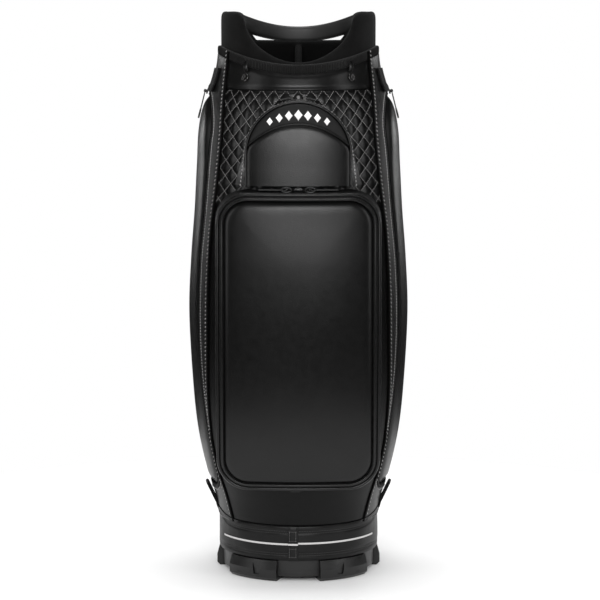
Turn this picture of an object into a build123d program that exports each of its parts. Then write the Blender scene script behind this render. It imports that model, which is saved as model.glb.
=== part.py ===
"""Golf staff bag, modelled as an assembly of separate solids, in millimetres.

The bag stands on the floor with its tube on the Z axis. Its front, with the two zipped pockets, faces -Y.
Angles called theta are measured round the Z axis from the front (-Y) towards +X, in degrees.
The outside is a barrel of revolution about Z. Every skin, gusset and pocket face is an offset of that barrel,
so neighbouring pieces keep an even gap.
"""

from build123d import *
import math
import os

os.makedirs("parts", exist_ok=True)

# ---------------------------------------------------------------- driving dimensions
GAP = 0.4  # clearance between neighbouring pieces

# Outer barrel: height and radius of its widest line, from the belt up to the cuff.
BARREL = [
    (88, 127.0),
    (120, 134.0),
    (155, 145.5),
    (200, 155.5),
    (260, 164.8),
    (330, 171.0),
    (405, 173.5),
    (500, 171.0),
    (590, 163.8),
    (650, 159.6),
    (700, 155.0),
    (735, 149.0),
    (770, 138.5),
    (800, 130.0),
    (832, 126.0),
]
SKIN = 3.0  # thickness of the leatherette skins
SEAM_THETA = 55.0  # where the front panels meet the side skins
REAR_THETA = 135.0  # where the side skins meet the spine

TUBE_R, TUBE_T = 116.0, 2.0
TUBE_Z = (12.0, 780.6)

BASE_R, BASE_WALL, BASE_TOP = 121.0, 4.7, 95.0
BASE_FLOOR = (7.0, 11.8)
FOOT_COUNT, FOOT_SPAN, FOOT_R, FOOT_TOP = 5, 41.0, 131.0, 32.5

BELT_Z = (33.0, 88.0)
BELT_R = (121.4, 126.0)
BELT_OVERLAP_X = (-16.0, -1.5)
STRIPE_Z = (59.2, 62.2)
STRIPE_THETA = 67.0

CUFF_R = 121.3  # outside of the padded collar, a 9.5 inch top
CUFF_TOP = 889.0
LIP_Z = 811.0  # lowest point of the collar's front and back edge
FRAME_R = (110.0, 117.5)
FRAME_SKIRT_Z = (750.0, 781.0)
FRAME_FLANGE_Z = (781.0, 791.0)
HUMP_X = 83.0  # the raised sides of the collar start here
BAND_R = (121.8, 126.6)
BAND_LOW, BAND_HIGH, BAND_RISE = 791.0, 805.5, 32.0

HANDLE_Z = (838.0, 862.0)  # lift handle's lowest line, at mid span
HANDLE_RISE = 23.0  # how much higher its ends are
HANDLE_X = 86.0

DIVIDER_T, DIVIDER_R, DIVIDER_Y = 3.0, 113.2, 38.0
DIVIDER_BAR_T, DIVIDER_BAR_TOP = 9.0, 842.0
DIVIDER_FOOT_Z, DIVIDER_LAP_Z = 18.6, 430.0

ROD_R, ROD_RING_R, ROD_Z = 2.0, 118.7, (82.0, 788.0)
ROD_THETAS = (-118.0, -66.0, 66.0, 118.0)
RIVET_R = 2.2

# Front pocket: the framed door, its gusset and its zip.
POCKET_AXIS_Y = 250.0  # the pocket faces are flatter than the barrel: they curve about this line
FRONT_MID_Z, FRONT_W, FRONT_H, FRONT_CORNER = 385.0, 246.0, 454.0, 46.0
PAD_W, PAD_H, PAD_CORNER = 230.0, 434.0, 38.0
WINDOW_W, WINDOW_H, WINDOW_CORNER = 236.0, 430.0, 40.0
GUSSET_FRONT_Y, GUSSET_TAPER, GUSSET_WALL = 190.0, 6.0, 4.0
DOOR_OFFSETS = (25.7, 30.0)  # of the board from the barrel
DOOR_PAD_OFFSETS = (30.3, 36.0)
ZIP_OFFSETS = (16.0, 22.0)

# Upper pocket: an arch over the front pocket.
ARCH_R, ARCH_MID_Z, ARCH_FOOT_Z = 81.0, 671.0, 625.0
ARCH_HINGE_Z = 650.0  # the face folds forward here
ARCH_WALL = 4.0
ARCH_AXIS_Y = 90.0
ARCH_OFFSETS = (11.4, 16.0)
CRESCENT_OFFSETS = (16.3, 18.3)
CRESCENT_LOW_Z, CRESCENT_END_Z = 718.5, 683.0

# Side pockets: a door in each side skin. It is sewn to the spine and turns about an upright line there.
SIDE_FRONT_Y, SIDE_Z = -72.0, (142.0, 758.0)
SIDE_TOP_CORNER, SIDE_FOOT_CORNER = 62.0, 28.0

TOP_SEAM_Z = 769.0  # plain top panel above, quilting below
QUILT_FOOT_Z = 590.0

SPINE_R = (121.4, 124.4)
SNAP_R, SNAP_Z, SNAP_THETAS = 6.2, 787.0, (-37.5, 37.5, 146.0, -146.0)

STRAP_AXIS_Y = 137.0  # the strap swings about this upright line
STRAP_MID_Z, STRAP_HALF_Z, STRAP_BOW = 545.0, 215.0, 65.5
STRAP_WIDTH, STRAP_T = 25.0, 3.0
STRAP_PAD_WIDTH, STRAP_PAD_T, STRAP_PAD_HALF_Z = 60.0, 14.0, 120.0
ANCHOR_PIN_R = 3.0

TAB_THETA, TAB_Z = 74.0, (763.0, 800.0)
LOW_HANDLE_THETA, LOW_HANDLE_WIDTH, LOW_HANDLE_T = 84.0, 25.0, 3.0


# ---------------------------------------------------------------- shape helpers
def barrel_radius(z):
    """Radius of the barrel at a height, by straight interpolation. It only places small parts."""
    for (z0, r0), (z1, r1) in zip(BARREL, BARREL[1:]):
        if z <= z1:
            return r0 + (r1 - r0) * (z - z0) / (z1 - z0)
    return BARREL[-1][1]


def barrel_tilt(z, step=6.0):
    """Slope of the barrel wall at a height, in degrees: positive where it widens downwards."""
    return math.degrees(math.atan2(barrel_radius(z - step) - barrel_radius(z + step), 2 * step))


def barrel_line(offset):
    """The barrel's outline, moved out by offset, as a curve in the XZ plane."""
    return Spline(*[(r + offset, 0, z) for z, r in BARREL])


def inside_barrel(offset, axis_y=0.0):
    """Everything inside the barrel's offset. With axis_y the surface turns about a line that far behind."""
    curve = barrel_line(offset + axis_y)
    low, high = curve @ 0, curve @ 1
    face = make_face(
        [curve, Line(high, (0, 0, high.Z)), Line((0, 0, high.Z), (0, 0, low.Z)), Line((0, 0, low.Z), low)]
    )
    return Pos(0, axis_y, 0) * revolve(face, Axis.Z, 360)


def barrel_sector(inner, outer, theta0, theta1):
    """The barrel's wall between two offsets and two angles, over its whole height."""
    a, b = barrel_line(inner), barrel_line(outer)
    face = make_face([a, Line(a @ 1, b @ 1), b, Line(b @ 0, a @ 0)])
    return Rot(0, 0, theta0 - 90) * revolve(face, Axis.Z, theta1 - theta0)


def ring(r0, r1, z0, z1):
    """An upright ring about the Z axis."""
    body = Pos(0, 0, z0) * Cylinder(r1, z1 - z0, align=(Align.CENTER, Align.CENTER, Align.MIN))
    hole = Pos(0, 0, z0 - 1) * Cylinder(r0, z1 - z0 + 2, align=(Align.CENTER, Align.CENTER, Align.MIN))
    return body - hole


def ring_sector(r0, r1, z0, z1, theta0, theta1):
    """Part of an upright ring between two angles."""
    face = Plane.XZ * (Pos((r0 + r1) / 2, (z0 + z1) / 2) * Rectangle(r1 - r0, z1 - z0))
    return Rot(0, 0, theta0 - 90) * revolve(face, Axis.Z, theta1 - theta0)


def slab(x0, x1, y0, y1, z0, z1):
    """A box between two corners."""
    return Pos((x0 + x1) / 2, (y0 + y1) / 2, (z0 + z1) / 2) * Box(x1 - x0, y1 - y0, z1 - z0)


def prism_xz(outline, y0, y1):
    """An outline drawn in X and Z, extruded from y0 to y1."""
    return extrude(Plane.XZ.offset(-y1) * outline, amount=y1 - y0)


def prism_yz(outline, x0, x1):
    """An outline drawn in Y and Z, extruded from x0 to x1."""
    return extrude(Plane.YZ.offset(x0) * outline, amount=x1 - x0)


def radial(theta, r, z, tilt=0.0):
    """A place on the barrel whose local +X points outwards, local +Y along the wall, local +Z up."""
    return Rot(0, 0, theta - 90) * Pos(r, 0, z) * Rot(0, tilt, 0)


def left_of(shape):
    """The mirror image on the -X side."""
    return mirror(shape, about=Plane.YZ)


def save(name, *solids):
    """Writes one node. Several separate solids become one group."""
    shape = solids[0] if len(solids) == 1 else Compound(list(solids))
    found = shape.solids()
    shape = found[0] if len(found) == 1 else Compound(found)
    shape.label = name
    export_step(shape, f"parts/{name}.step")


# ---------------------------------------------------------------- outlines
def arch_under(z_mid, rise, half, depth):
    """The area below an arc that is lowest at X=0 and rises at its ends."""
    top = ThreePointArc((-half, z_mid + rise), (0, z_mid), (half, z_mid + rise))
    foot = Polyline((half, z_mid + rise), (half, z_mid - depth), (-half, z_mid - depth), (-half, z_mid + rise))
    return make_face([top, *foot.edges()])


def collar_outline(grow):
    """The collar seen from the front: two tall sides with a scoop between them, grown by an offset."""
    right = [
        (53.0 - grow * 0.8, 829.0 + grow * 0.6),
        (80.0 - grow, 862.0),
        (HUMP_X - grow, CUFF_TOP - 8 + grow),
    ]
    left = [(-x, z) for x, z in reversed(right)]
    scoop = Spline(*left, (0, LIP_Z + grow), *right)
    top = CUFF_TOP + grow
    hump = HUMP_X + 12 - grow
    wide = 140.0
    rim = Polyline(
        scoop @ 1,
        (hump, top),
        (wide, top),
        (wide, 740),
        (-wide, 740),
        (-wide, top),
        (-hump, top),
        scoop @ 0,
    )
    return make_face([scoop, *rim.edges()])


def arch_outline(grow, foot=ARCH_FOOT_Z):
    """The upper pocket's outline: a half circle on straight sides."""
    r = ARCH_R + grow
    arc = ThreePointArc((-r, ARCH_MID_Z), (0, ARCH_MID_Z + r), (r, ARCH_MID_Z))
    sides = Polyline((r, ARCH_MID_Z), (r, foot - grow), (-r, foot - grow), (-r, ARCH_MID_Z))
    return make_face([arc, *sides.edges()])


def side_outline(grow):
    """A side pocket's outline in Y and Z. Its rear runs past the spine, and its front corners are round."""
    y0, y1 = SIDE_FRONT_Y - grow, 160.0
    z0, z1 = SIDE_Z[0] - grow, SIDE_Z[1] + grow
    outline = Pos((y0 + y1) / 2, (z0 + z1) / 2) * Rectangle(y1 - y0, z1 - z0)
    front = outline.vertices().filter_by(lambda v: v.X < 0).sort_by(Axis.Y)
    outline = fillet(front[-1], SIDE_TOP_CORNER + grow)
    foot = outline.vertices().filter_by(lambda v: v.X < 0).sort_by(Axis.Y)[0]
    return fillet(foot, SIDE_FOOT_CORNER + grow)


def rounded(width, height, corner, mid_z):
    return Pos(0, mid_z) * RectangleRounded(width, height, corner)


# ---------------------------------------------------------------- base
def make_base():
    """Moulded tray with five lugs, its foam pad, and the rivets that hold the tube in it."""
    tray = ring(BASE_R - BASE_WALL, BASE_R, BASE_FLOOR[0] + 4, BASE_TOP)
    tray += Pos(0, 0, sum(BASE_FLOOR) / 2) * Cylinder(BASE_R, BASE_FLOOR[1] - BASE_FLOOR[0])
    lug_profile = Polyline(
        (96, 0, 0),
        (126, 0, 0),
        (FOOT_R, 0, 5),
        (FOOT_R, 0, 18),
        (127, 0, FOOT_TOP),
        (118, 0, FOOT_TOP),
        (118, 0, 10),
        (96, 0, 10),
        close=True,
    )
    lug = Rot(0, 0, -FOOT_SPAN / 2) * revolve(make_face(lug_profile), Axis.Z, FOOT_SPAN)
    step = 360 / FOOT_COUNT
    recess = make_face(Polyline((-18, 9.5), (-8, 9.5), (-3, 34), (-23, 34), close=True))
    recess = prism_yz(recess, FOOT_R - 2.8, FOOT_R + 5)
    slot = Pos(FOOT_R + 2.2, 24, 9.5) * Box(10, 10, 3)
    lug = lug - recess - slot
    for k in range(FOOT_COUNT):
        turn = Rot(0, 0, -90 + step / 2 + k * step)
        shape = lug if k < 3 else mirror(lug, about=Plane.XZ)
        tray += turn * shape
    thetas = [18 + k * 72 for k in range(5)]
    rivet_z = 86.0
    rivets = []
    for theta in thetas:
        place = radial(theta, 0, rivet_z)
        shank = Rot(0, 90, 0) * Cylinder(RIVET_R, 8.2)
        head = Rot(0, 90, 0) * Cylinder(RIVET_R + 1.6, 0.9)
        rivets.append(place * (Pos(117.2, 0, 0) * shank + Pos(113.2, 0, 0) * head))
        tray -= place * Pos(118, 0, 0) * Rot(0, 90, 0) * Cylinder(RIVET_R + 0.1, 12)
    for theta in ROD_THETAS:
        tray -= radial(theta, ROD_RING_R, ROD_Z[0] + 10) * Cylinder(ROD_R + 0.12, 20.4)
    save("base_tray", tray)
    save("base_rivets", *rivets)
    save("base_foam_pad", Pos(0, 0, 15.2) * Cylinder(113.4, 6.2))
    return thetas, rivet_z


def make_belt():
    """Belt round the base, its reflective stripe and the stitched overlap at the front."""
    save("base_belt", ring(*BELT_R, *BELT_Z))
    r = BELT_R[1] + 0.2
    full = ring_sector(r, r + 1.2, *STRIPE_Z, -STRIPE_THETA, STRIPE_THETA)
    keep_out = slab(BELT_OVERLAP_X[0] - 0.5, BELT_OVERLAP_X[1] + 0.5, -140, -100, 0, 100)
    save("belt_stripe", full - keep_out)
    tab = ring_sector(r, r + 2.0, BELT_Z[0] + 1, BELT_Z[1] - 1.5, -12, 12)
    tab = tab & slab(*BELT_OVERLAP_X, -140, -100, 0, 100)
    save("belt_overlap_tab", tab)


# ---------------------------------------------------------------- inner structure
def make_tube(base_thetas, base_z):
    """Plastic board tube, and the four stays beside it."""
    tube = ring(TUBE_R - TUBE_T, TUBE_R, *TUBE_Z)
    cuff_thetas = [theta + 36 for theta in base_thetas]
    cuff_z = 765.0
    rivets = []
    for theta, z in [(t, base_z) for t in base_thetas] + [(t, cuff_z) for t in cuff_thetas]:
        tube -= radial(theta, 115, z) * Rot(0, 90, 0) * Cylinder(RIVET_R + 0.1, 8)
    for theta in cuff_thetas:
        place = radial(theta, 0, cuff_z)
        shank = Rot(0, 90, 0) * Cylinder(RIVET_R, 5.6)
        head = Rot(0, 90, 0) * Cylinder(RIVET_R + 1.6, 0.9)
        rivets.append(place * (Pos(113.6, 0, 0) * shank + Pos(116.8, 0, 0) * head))
    save("tube", tube)
    save("cuff_rivets", *rivets)
    rod = Cylinder(ROD_R, ROD_Z[1] - ROD_Z[0])
    save("stay_rods", *[radial(theta, ROD_RING_R, sum(ROD_Z) / 2) * rod for theta in ROD_THETAS])
    return cuff_thetas, cuff_z


def make_dividers():
    """Six full-length wells: one panel front to back, two across, and a padded grid on top of them."""
    top = 790.0
    half = DIVIDER_T / 2
    round_limit = Pos(0, 0, 370) * Cylinder(DIVIDER_R, 2 * (FRAME_SKIRT_Z[0] - GAP - 370))
    round_limit += Pos(0, 0, 600) * Cylinder(FRAME_R[0] - GAP, 600)
    centre = slab(-half, half, -DIVIDER_R, DIVIDER_R, DIVIDER_FOOT_Z, top) & round_limit
    slot = half + 0.2
    for y in (-DIVIDER_Y, DIVIDER_Y):
        centre -= slab(-5, 5, y - slot, y + slot, DIVIDER_LAP_Z, top + 5)
    save("divider_centre", centre)
    for y, name in ((-DIVIDER_Y, "front"), (DIVIDER_Y, "rear")):
        cross = slab(-DIVIDER_R, DIVIDER_R, y - half, y + half, DIVIDER_FOOT_Z, top) & round_limit
        cross -= slab(-slot, slot, y - 5, y + 5, DIVIDER_FOOT_Z - 5, DIVIDER_LAP_Z + 0.4)
        save(f"divider_cross_{name}", cross)
    bar = DIVIDER_BAR_T / 2
    limit = Pos(0, 0, 800) * Cylinder(106.4, 300)
    grid = slab(-110, 110, -DIVIDER_Y - bar, -DIVIDER_Y + bar, top + GAP, DIVIDER_BAR_TOP)
    grid += slab(-110, 110, DIVIDER_Y - bar, DIVIDER_Y + bar, top + GAP, DIVIDER_BAR_TOP)
    spine = make_face(
        [
            ThreePointArc((-110, 804), (0, DIVIDER_BAR_TOP), (110, 804)),
            *Polyline((110, 804), (110, top + GAP), (-110, top + GAP), (-110, 804)).edges(),
        ]
    )
    grid += prism_yz(spine, -bar, bar)
    save("divider_grid", grid & limit)


# ---------------------------------------------------------------- collar
def make_collar(cuff_thetas, cuff_z):
    """Moulded collar frame with the core of the lift handle, its padded cover, its band and its grip."""
    body = ring(*FRAME_R, FRAME_FLANGE_Z[0], CUFF_TOP + 5)
    core_z = (HANDLE_Z[0] + 6, HANDLE_Z[1] - 6)
    scoop = prism_xz(collar_outline(-4.0), -150, 150)
    frame = body & scoop
    frame += ring(FRAME_R[0], BASE_R, *FRAME_FLANGE_Z)
    frame += ring(FRAME_R[0], TUBE_R - TUBE_T - 0.3, *FRAME_SKIRT_Z)
    half = HANDLE_X + 14
    core_shape = arch_under(core_z[1], HANDLE_RISE, half, 80) - arch_under(core_z[0], HANDLE_RISE, half, 85)
    core_ring = ring_sector(FRAME_R[0] + 0.8, FRAME_R[1] - 0.8, 800, 900, 125, 235)
    core = core_ring & prism_xz(core_shape, 0, 150)
    frame += core
    for theta in cuff_thetas:
        frame -= radial(theta, 112, cuff_z) * Rot(0, 90, 0) * Cylinder(RIVET_R + 0.1, 10)
    for theta in ROD_THETAS:
        frame -= radial(theta, ROD_RING_R, ROD_Z[1] - 8) * Cylinder(ROD_R + 0.12, 17)
    save("collar_frame", frame)

    cover = ring(FRAME_R[0] - 3, CUFF_R, FRAME_FLANGE_Z[1] + 0.3, CUFF_TOP + 8)
    cover = cover & prism_xz(collar_outline(0), -150, 150)
    core_room_shape = arch_under(core_z[1] + GAP, HANDLE_RISE, half, 80)
    core_room_shape -= arch_under(core_z[0] - GAP, HANDLE_RISE, half, 85)
    core_room = ring(FRAME_R[0], FRAME_R[1], 800, 900) & prism_xz(core_room_shape, 0, 150)
    hollow = ring(FRAME_R[0] - 0.3, FRAME_R[1] + 0.3, 780, CUFF_TOP + 8) & prism_xz(
        collar_outline(-3.6), -150, 150
    )
    save("collar_cover", cover - hollow - core_room)

    band_shape = arch_under(BAND_HIGH, BAND_RISE, 135, 60) - arch_under(BAND_LOW, BAND_RISE, 135, 70)
    save("collar_band", ring(*BAND_R, 780, 860) & prism_xz(band_shape, -150, 150))

    grip_shape = arch_under(HANDLE_Z[1], HANDLE_RISE, half, 80) - arch_under(HANDLE_Z[0], HANDLE_RISE, half, 90)
    grip = ring_sector(FRAME_R[0] - 4.5, CUFF_R - 0.5, 800, 900, 125, 235) & prism_xz(grip_shape, 0, 150)
    room_shape = arch_under(core_z[1] + 0.2, HANDLE_RISE, half, 80)
    room_shape -= arch_under(core_z[0] - 0.2, HANDLE_RISE, half, 85)
    room = ring(FRAME_R[0] + 0.6, FRAME_R[1] - 0.6, 800, 900) & prism_xz(room_shape, 0, 150)
    grip = grip - room - prism_xz(collar_outline(GAP), 0, 150)
    save("lift_handle_grip", grip)


# ---------------------------------------------------------------- skins
def below_band():
    """Everything lower than the collar's band, with a gap."""
    return prism_xz(arch_under(BAND_LOW - GAP, BAND_RISE, 190, 760), -200, 200)


def snap_place(theta):
    """Where a press stud sits: on the spine behind, on the tilted barrel in front."""
    if abs(theta) > 90:
        return radial(theta, SPINE_R[1], SNAP_Z)
    return radial(theta, barrel_radius(SNAP_Z), SNAP_Z, -barrel_tilt(SNAP_Z))


def snap_holes(shape):
    for theta in SNAP_THETAS:
        shape -= snap_place(theta) * Rot(0, 90, 0) * Cylinder(1.9, 14)
    return shape


def make_front_skins():
    """Plain top panel, quilted panel and lower panel, with windows where the pockets open."""
    front = barrel_sector(-SKIN, 0, -SEAM_THETA + 0.1, SEAM_THETA - 0.1)
    under = below_band()
    top = front & slab(-200, 200, -200, 0, TOP_SEAM_Z + 0.2, 850) & under
    save("top_front_panel", snap_holes(top))
    window = prism_xz(rounded(WINDOW_W, WINDOW_H, WINDOW_CORNER, FRONT_MID_Z), -250, 0)
    upper_window = prism_xz(arch_outline(-14, 640), -250, 0)
    quilt = front & slab(-200, 200, -200, 0, QUILT_FOOT_Z + 0.2, TOP_SEAM_Z - 0.2)
    eyelet_hole = Pos(0, -140, 758.5) * Rot(90, 0, 0) * Cylinder(1.3, 30)
    save("quilted_panel", quilt - window - upper_window - eyelet_hole)
    lower = front & slab(-200, 200, -200, 0, BELT_Z[1] + 2, QUILT_FOOT_Z - 0.2)
    save("lower_front_panel", lower - window)


def make_side_skins():
    """Side skins: a barrel wall with two radial flanges, and the pocket door cut out of each."""
    wall = barrel_sector(-SKIN, 0, SEAM_THETA + 0.1, REAR_THETA)
    height = slab(-200, 200, -200, 200, BELT_Z[1] + 2, 850)
    under = below_band()
    window = prism_yz(side_outline(0.6), 60, 220) - inside_barrel(-SKIN - GAP)
    skin = wall
    for theta in (SEAM_THETA + 0.1, REAR_THETA - 0.9):
        flange = barrel_sector(-80, -SKIN + 0.5, theta, theta + 0.9)
        skin += flange - Pos(0, 0, 450) * Cylinder(SPINE_R[0], 1200)
    skin = (skin & height & under) - window
    door = barrel_sector(-SKIN, 0, SEAM_THETA, REAR_THETA) & prism_yz(side_outline(0), 60, 220)
    zip_shape = side_outline(5.6) - side_outline(1.2)
    track = barrel_sector(0.15, 1.3, SEAM_THETA, REAR_THETA) & prism_yz(zip_shape, 60, 220)
    for side, turn in (("right", lambda s: s), ("left", left_of)):
        save(f"{side}_side_skin", turn(skin))
        save(f"{side}_pocket_door", turn(door))
        save(f"{side}_pocket_zip", turn(track))


def make_spine():
    """Back panel between the side pockets, and the padded lift handle on it."""
    panel = ring_sector(*SPINE_R, BELT_Z[1] + 2, 850, REAR_THETA + 0.3, 360 - REAR_THETA - 0.3)
    save("spine_panel", snap_holes(panel & below_band()))


def bow(offset, half_z, t):
    """A strap shaped arc in Y and Z behind the spine, as thick as t, and half_z tall each way."""
    radius = (STRAP_HALF_Z**2 + STRAP_BOW**2) / (2 * STRAP_BOW)
    centre_y = STRAP_AXIS_Y + STRAP_BOW - radius
    outer = Pos(centre_y, STRAP_MID_Z) * Circle(radius + offset + t / 2)
    outer -= Pos(centre_y, STRAP_MID_Z) * Circle(radius + offset - t / 2)
    middle = centre_y + radius
    return outer & (Pos(middle, STRAP_MID_Z) * Rectangle(2 * STRAP_BOW + 60, 2 * half_z))


def make_strap():
    """Shoulder strap behind the spine: webbing with a padded sleeve, on two anchors with upright pins."""
    loop_half = STRAP_HALF_Z - 3
    band = prism_yz(bow(0, loop_half, STRAP_T), -STRAP_WIDTH / 2, STRAP_WIDTH / 2)
    band = band & slab(-50, 50, STRAP_AXIS_Y - 1, 300, 0, 900)
    anchors = []
    for side in (-1, 1):
        end_z = STRAP_MID_Z + side * (STRAP_HALF_Z - 6)
        eye = Pos(0, STRAP_AXIS_Y, end_z) * Cylinder(6.5, 16)
        band += eye
        pin = Pos(0, STRAP_AXIS_Y, end_z) * Cylinder(ANCHOR_PIN_R, 34)
        for arm in (-1, 1):
            z = end_z + arm * 13
            pin += slab(-6, 6, SPINE_R[1] + 1.6, STRAP_AXIS_Y + 5, z - 3, z + 3)
        plate = slab(-16, 16, SPINE_R[1] - 1.0, SPINE_R[1] + 2.2, end_z - 26, end_z + 26)
        plate -= Pos(0, 0, end_z) * Cylinder(SPINE_R[1] + 0.3, 80)
        anchors.append(pin + plate)
        band -= Pos(0, STRAP_AXIS_Y, end_z) * Cylinder(ANCHOR_PIN_R + 0.4, 60)
    save("strap_webbing", band)
    save("strap_anchors", *anchors)
    sleeve = prism_yz(bow(0, STRAP_PAD_HALF_Z, STRAP_PAD_T), -STRAP_PAD_WIDTH / 2, STRAP_PAD_WIDTH / 2)
    core_half = STRAP_WIDTH / 2 + 0.3
    sleeve -= prism_yz(bow(0, STRAP_PAD_HALF_Z + 10, STRAP_T + 0.6), -core_half, core_half)
    save("strap_pad", sleeve)


def make_side_webbing():
    """A folded webbing tab high on each side, and a webbing grab handle low on each side."""
    tab = barrel_sector(0.4, 2.4, TAB_THETA - 5.6, TAB_THETA + 5.6) & slab(0, 300, -300, 300, *TAB_Z)
    save("side_tabs", tab, left_of(tab))
    top_z, foot_z = SIDE_Z[0] - 6.5, BELT_Z[1] + 4.0
    top_r, foot_r = barrel_radius(top_z), barrel_radius(foot_z)
    outline = Polyline(
        (foot_r - 1, foot_z),
        (top_r + 15, top_z - 6),
        (top_r + 13, top_z),
        (top_r - 2, top_z),
        (top_r - 2, top_z - LOW_HANDLE_T),
        (top_r + 10.5, top_z - LOW_HANDLE_T),
        (top_r + 11.4, top_z - 7),
        (foot_r + 2.5, foot_z + 10),
        (foot_r - 1, foot_z + 6),
        close=True,
    )
    half = LOW_HANDLE_WIDTH / 2
    handle = prism_xz(make_face(outline), -half, half)
    handle = Rot(0, 0, LOW_HANDLE_THETA - 90) * handle - inside_barrel(0.4)
    save("low_handles", handle, left_of(handle))


def make_snaps():
    """Press studs that hold a rain hood, and the eyelet over the upper pocket."""
    studs = []
    for theta in SNAP_THETAS:
        cap = Pos(1.3, 0, 0) * Rot(0, 90, 0) * Cylinder(SNAP_R, 1.4)
        post = Pos(3.0, 0, 0) * Rot(0, 90, 0) * Cylinder(2.5, 3.0)
        shank = Pos(-0.9, 0, 0) * Rot(0, 90, 0) * Cylinder(1.5, 3.8)
        studs.append(snap_place(theta) * (cap + post + shank))
    save("rain_hood_studs", *studs)


# ---------------------------------------------------------------- front pocket
def gusset_block(shrink):
    """The front pocket's tapered block, wider at the body than at the door."""
    reach = 25.0
    narrow = 2 * (reach * math.tan(math.radians(GUSSET_TAPER)) + shrink)
    outline = rounded(FRONT_W - narrow, FRONT_H - narrow, FRONT_CORNER - narrow / 2, FRONT_MID_Z)
    start = GUSSET_FRONT_Y + reach
    block = extrude(Plane.XZ.offset(start) * outline, amount=-(start - 70), taper=-GUSSET_TAPER)
    return block


def make_front_pocket():
    """Gusset, zip, and the door made of a board, a padded face and a piping frame."""
    body = inside_barrel(GAP)
    wall = gusset_block(0) - gusset_block(GUSSET_WALL)
    gusset = (wall & inside_barrel(DOOR_OFFSETS[0] - 2 * GAP, POCKET_AXIS_Y)) - body
    save("front_pocket_gusset", gusset)
    track = (gusset_block(-1.4) - gusset_block(-0.3)) & inside_barrel(ZIP_OFFSETS[1], POCKET_AXIS_Y)
    foot_gap = slab(-70, 70, -260, 0, 100, 300)
    save("front_pocket_zip", track - inside_barrel(ZIP_OFFSETS[0], POCKET_AXIS_Y) - foot_gap)

    frame = prism_xz(rounded(FRONT_W, FRONT_H, FRONT_CORNER, FRONT_MID_Z), -260, -100)
    pad = prism_xz(rounded(PAD_W, PAD_H, PAD_CORNER, FRONT_MID_Z), -260, -100)
    pad_room = prism_xz(
        rounded(PAD_W + 2 * GAP, PAD_H + 2 * GAP, PAD_CORNER + GAP, FRONT_MID_Z), -260, -100
    )
    levels = [inside_barrel(o, POCKET_AXIS_Y) for o in (*DOOR_OFFSETS, *DOOR_PAD_OFFSETS)]
    piping_top = inside_barrel(DOOR_PAD_OFFSETS[1] - 1.2, POCKET_AXIS_Y)
    save("front_door_board", (frame & levels[1]) - levels[0])
    save("front_door_pad", (pad & levels[3]) - levels[2])
    save("front_door_piping", ((frame - pad_room) & piping_top) - levels[2])


# ---------------------------------------------------------------- upper pocket
def make_upper_pocket():
    """Arched pocket: gusset, zip, face and the crescent flap sewn over the face."""
    body = inside_barrel(GAP)
    outer = prism_xz(arch_outline(0), -260, -90)
    inner = prism_xz(arch_outline(-ARCH_WALL), -260, -90)
    gusset = ((outer - inner) & inside_barrel(ARCH_OFFSETS[0] - GAP, ARCH_AXIS_Y)) - body
    save("upper_pocket_gusset", gusset)
    strip = prism_xz(arch_outline(1.4), -260, -90) - prism_xz(arch_outline(0.3), -260, -90)
    strip = (strip & inside_barrel(8.5, ARCH_AXIS_Y)) - inside_barrel(3.5, ARCH_AXIS_Y)
    save("upper_pocket_zip", strip & slab(-100, 100, -260, 0, 650, 800))
    face = (outer & inside_barrel(ARCH_OFFSETS[1], ARCH_AXIS_Y)) - inside_barrel(ARCH_OFFSETS[0], ARCH_AXIS_Y)
    save("upper_pocket_face", face & slab(-100, 100, -260, 0, ARCH_HINGE_Z, 800))
    save("upper_pocket_foot", face & slab(-100, 100, -260, 0, 600, ARCH_HINGE_Z - GAP))
    cut = ThreePointArc(
        (-ARCH_R, CRESCENT_END_Z), (0, CRESCENT_LOW_Z), (ARCH_R, CRESCENT_END_Z)
    )
    wide = ARCH_R + 9
    rest = Polyline((ARCH_R, CRESCENT_END_Z), (wide, 600), (-wide, 600), (-ARCH_R, CRESCENT_END_Z))
    crescent = outer - prism_xz(make_face([cut, *rest.edges()]), -270, -80)
    crescent = (crescent & inside_barrel(CRESCENT_OFFSETS[1], ARCH_AXIS_Y)) - inside_barrel(
        CRESCENT_OFFSETS[0], ARCH_AXIS_Y
    )
    save("upper_pocket_crescent", crescent & slab(-100, 100, -260, 0, CRESCENT_END_Z, 800))
    eyelet = Pos(0, -145.2, 758.5) * Rot(90, 0, 0) * Cylinder(2.6, 1.0)
    eyelet += Pos(0, -141.5, 758.5) * Rot(90, 0, 0) * Cylinder(1.1, 6.6)
    save("upper_pocket_eyelet", eyelet)


# ---------------------------------------------------------------- zip sliders and pulls
SLIDER_L, SLIDER_W, SLIDER_Z = 13.0, 8.0, (0.6, 2.4)
PIN_R, PIN_H, EAR_T = 0.9, 5.1, 1.5
EYE_R = (1.2, 2.3)
FRONT_SLIDER_TURN, UPPER_SLIDER_TURN, SIDE_SLIDER_THETA = 1.75, 6.5, 92.0


def slider_body(pin_across=True):
    """A zip slider: local X is the run, local Z points away from the track. The pin carries the pull."""
    plate = slab(-SLIDER_L / 2, SLIDER_L / 2, -SLIDER_W / 2, SLIDER_W / 2, *SLIDER_Z)
    plate = fillet(plate.edges().filter_by(Axis.Z), 2.0)
    top = Pos(0, 0, PIN_H) * Rot(90, 0, 0) * Cylinder(PIN_R, SLIDER_W - 1.0)
    for sign in (-1, 1):
        middle = sign * (SLIDER_W - EAR_T) / 2
        top += slab(-2.2, 2.2, middle - EAR_T / 2, middle + EAR_T / 2, SLIDER_Z[1] - 0.2, PIN_H + 1.6)
    return plate + (top if pin_across else Rot(0, 0, 90) * top)


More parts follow.
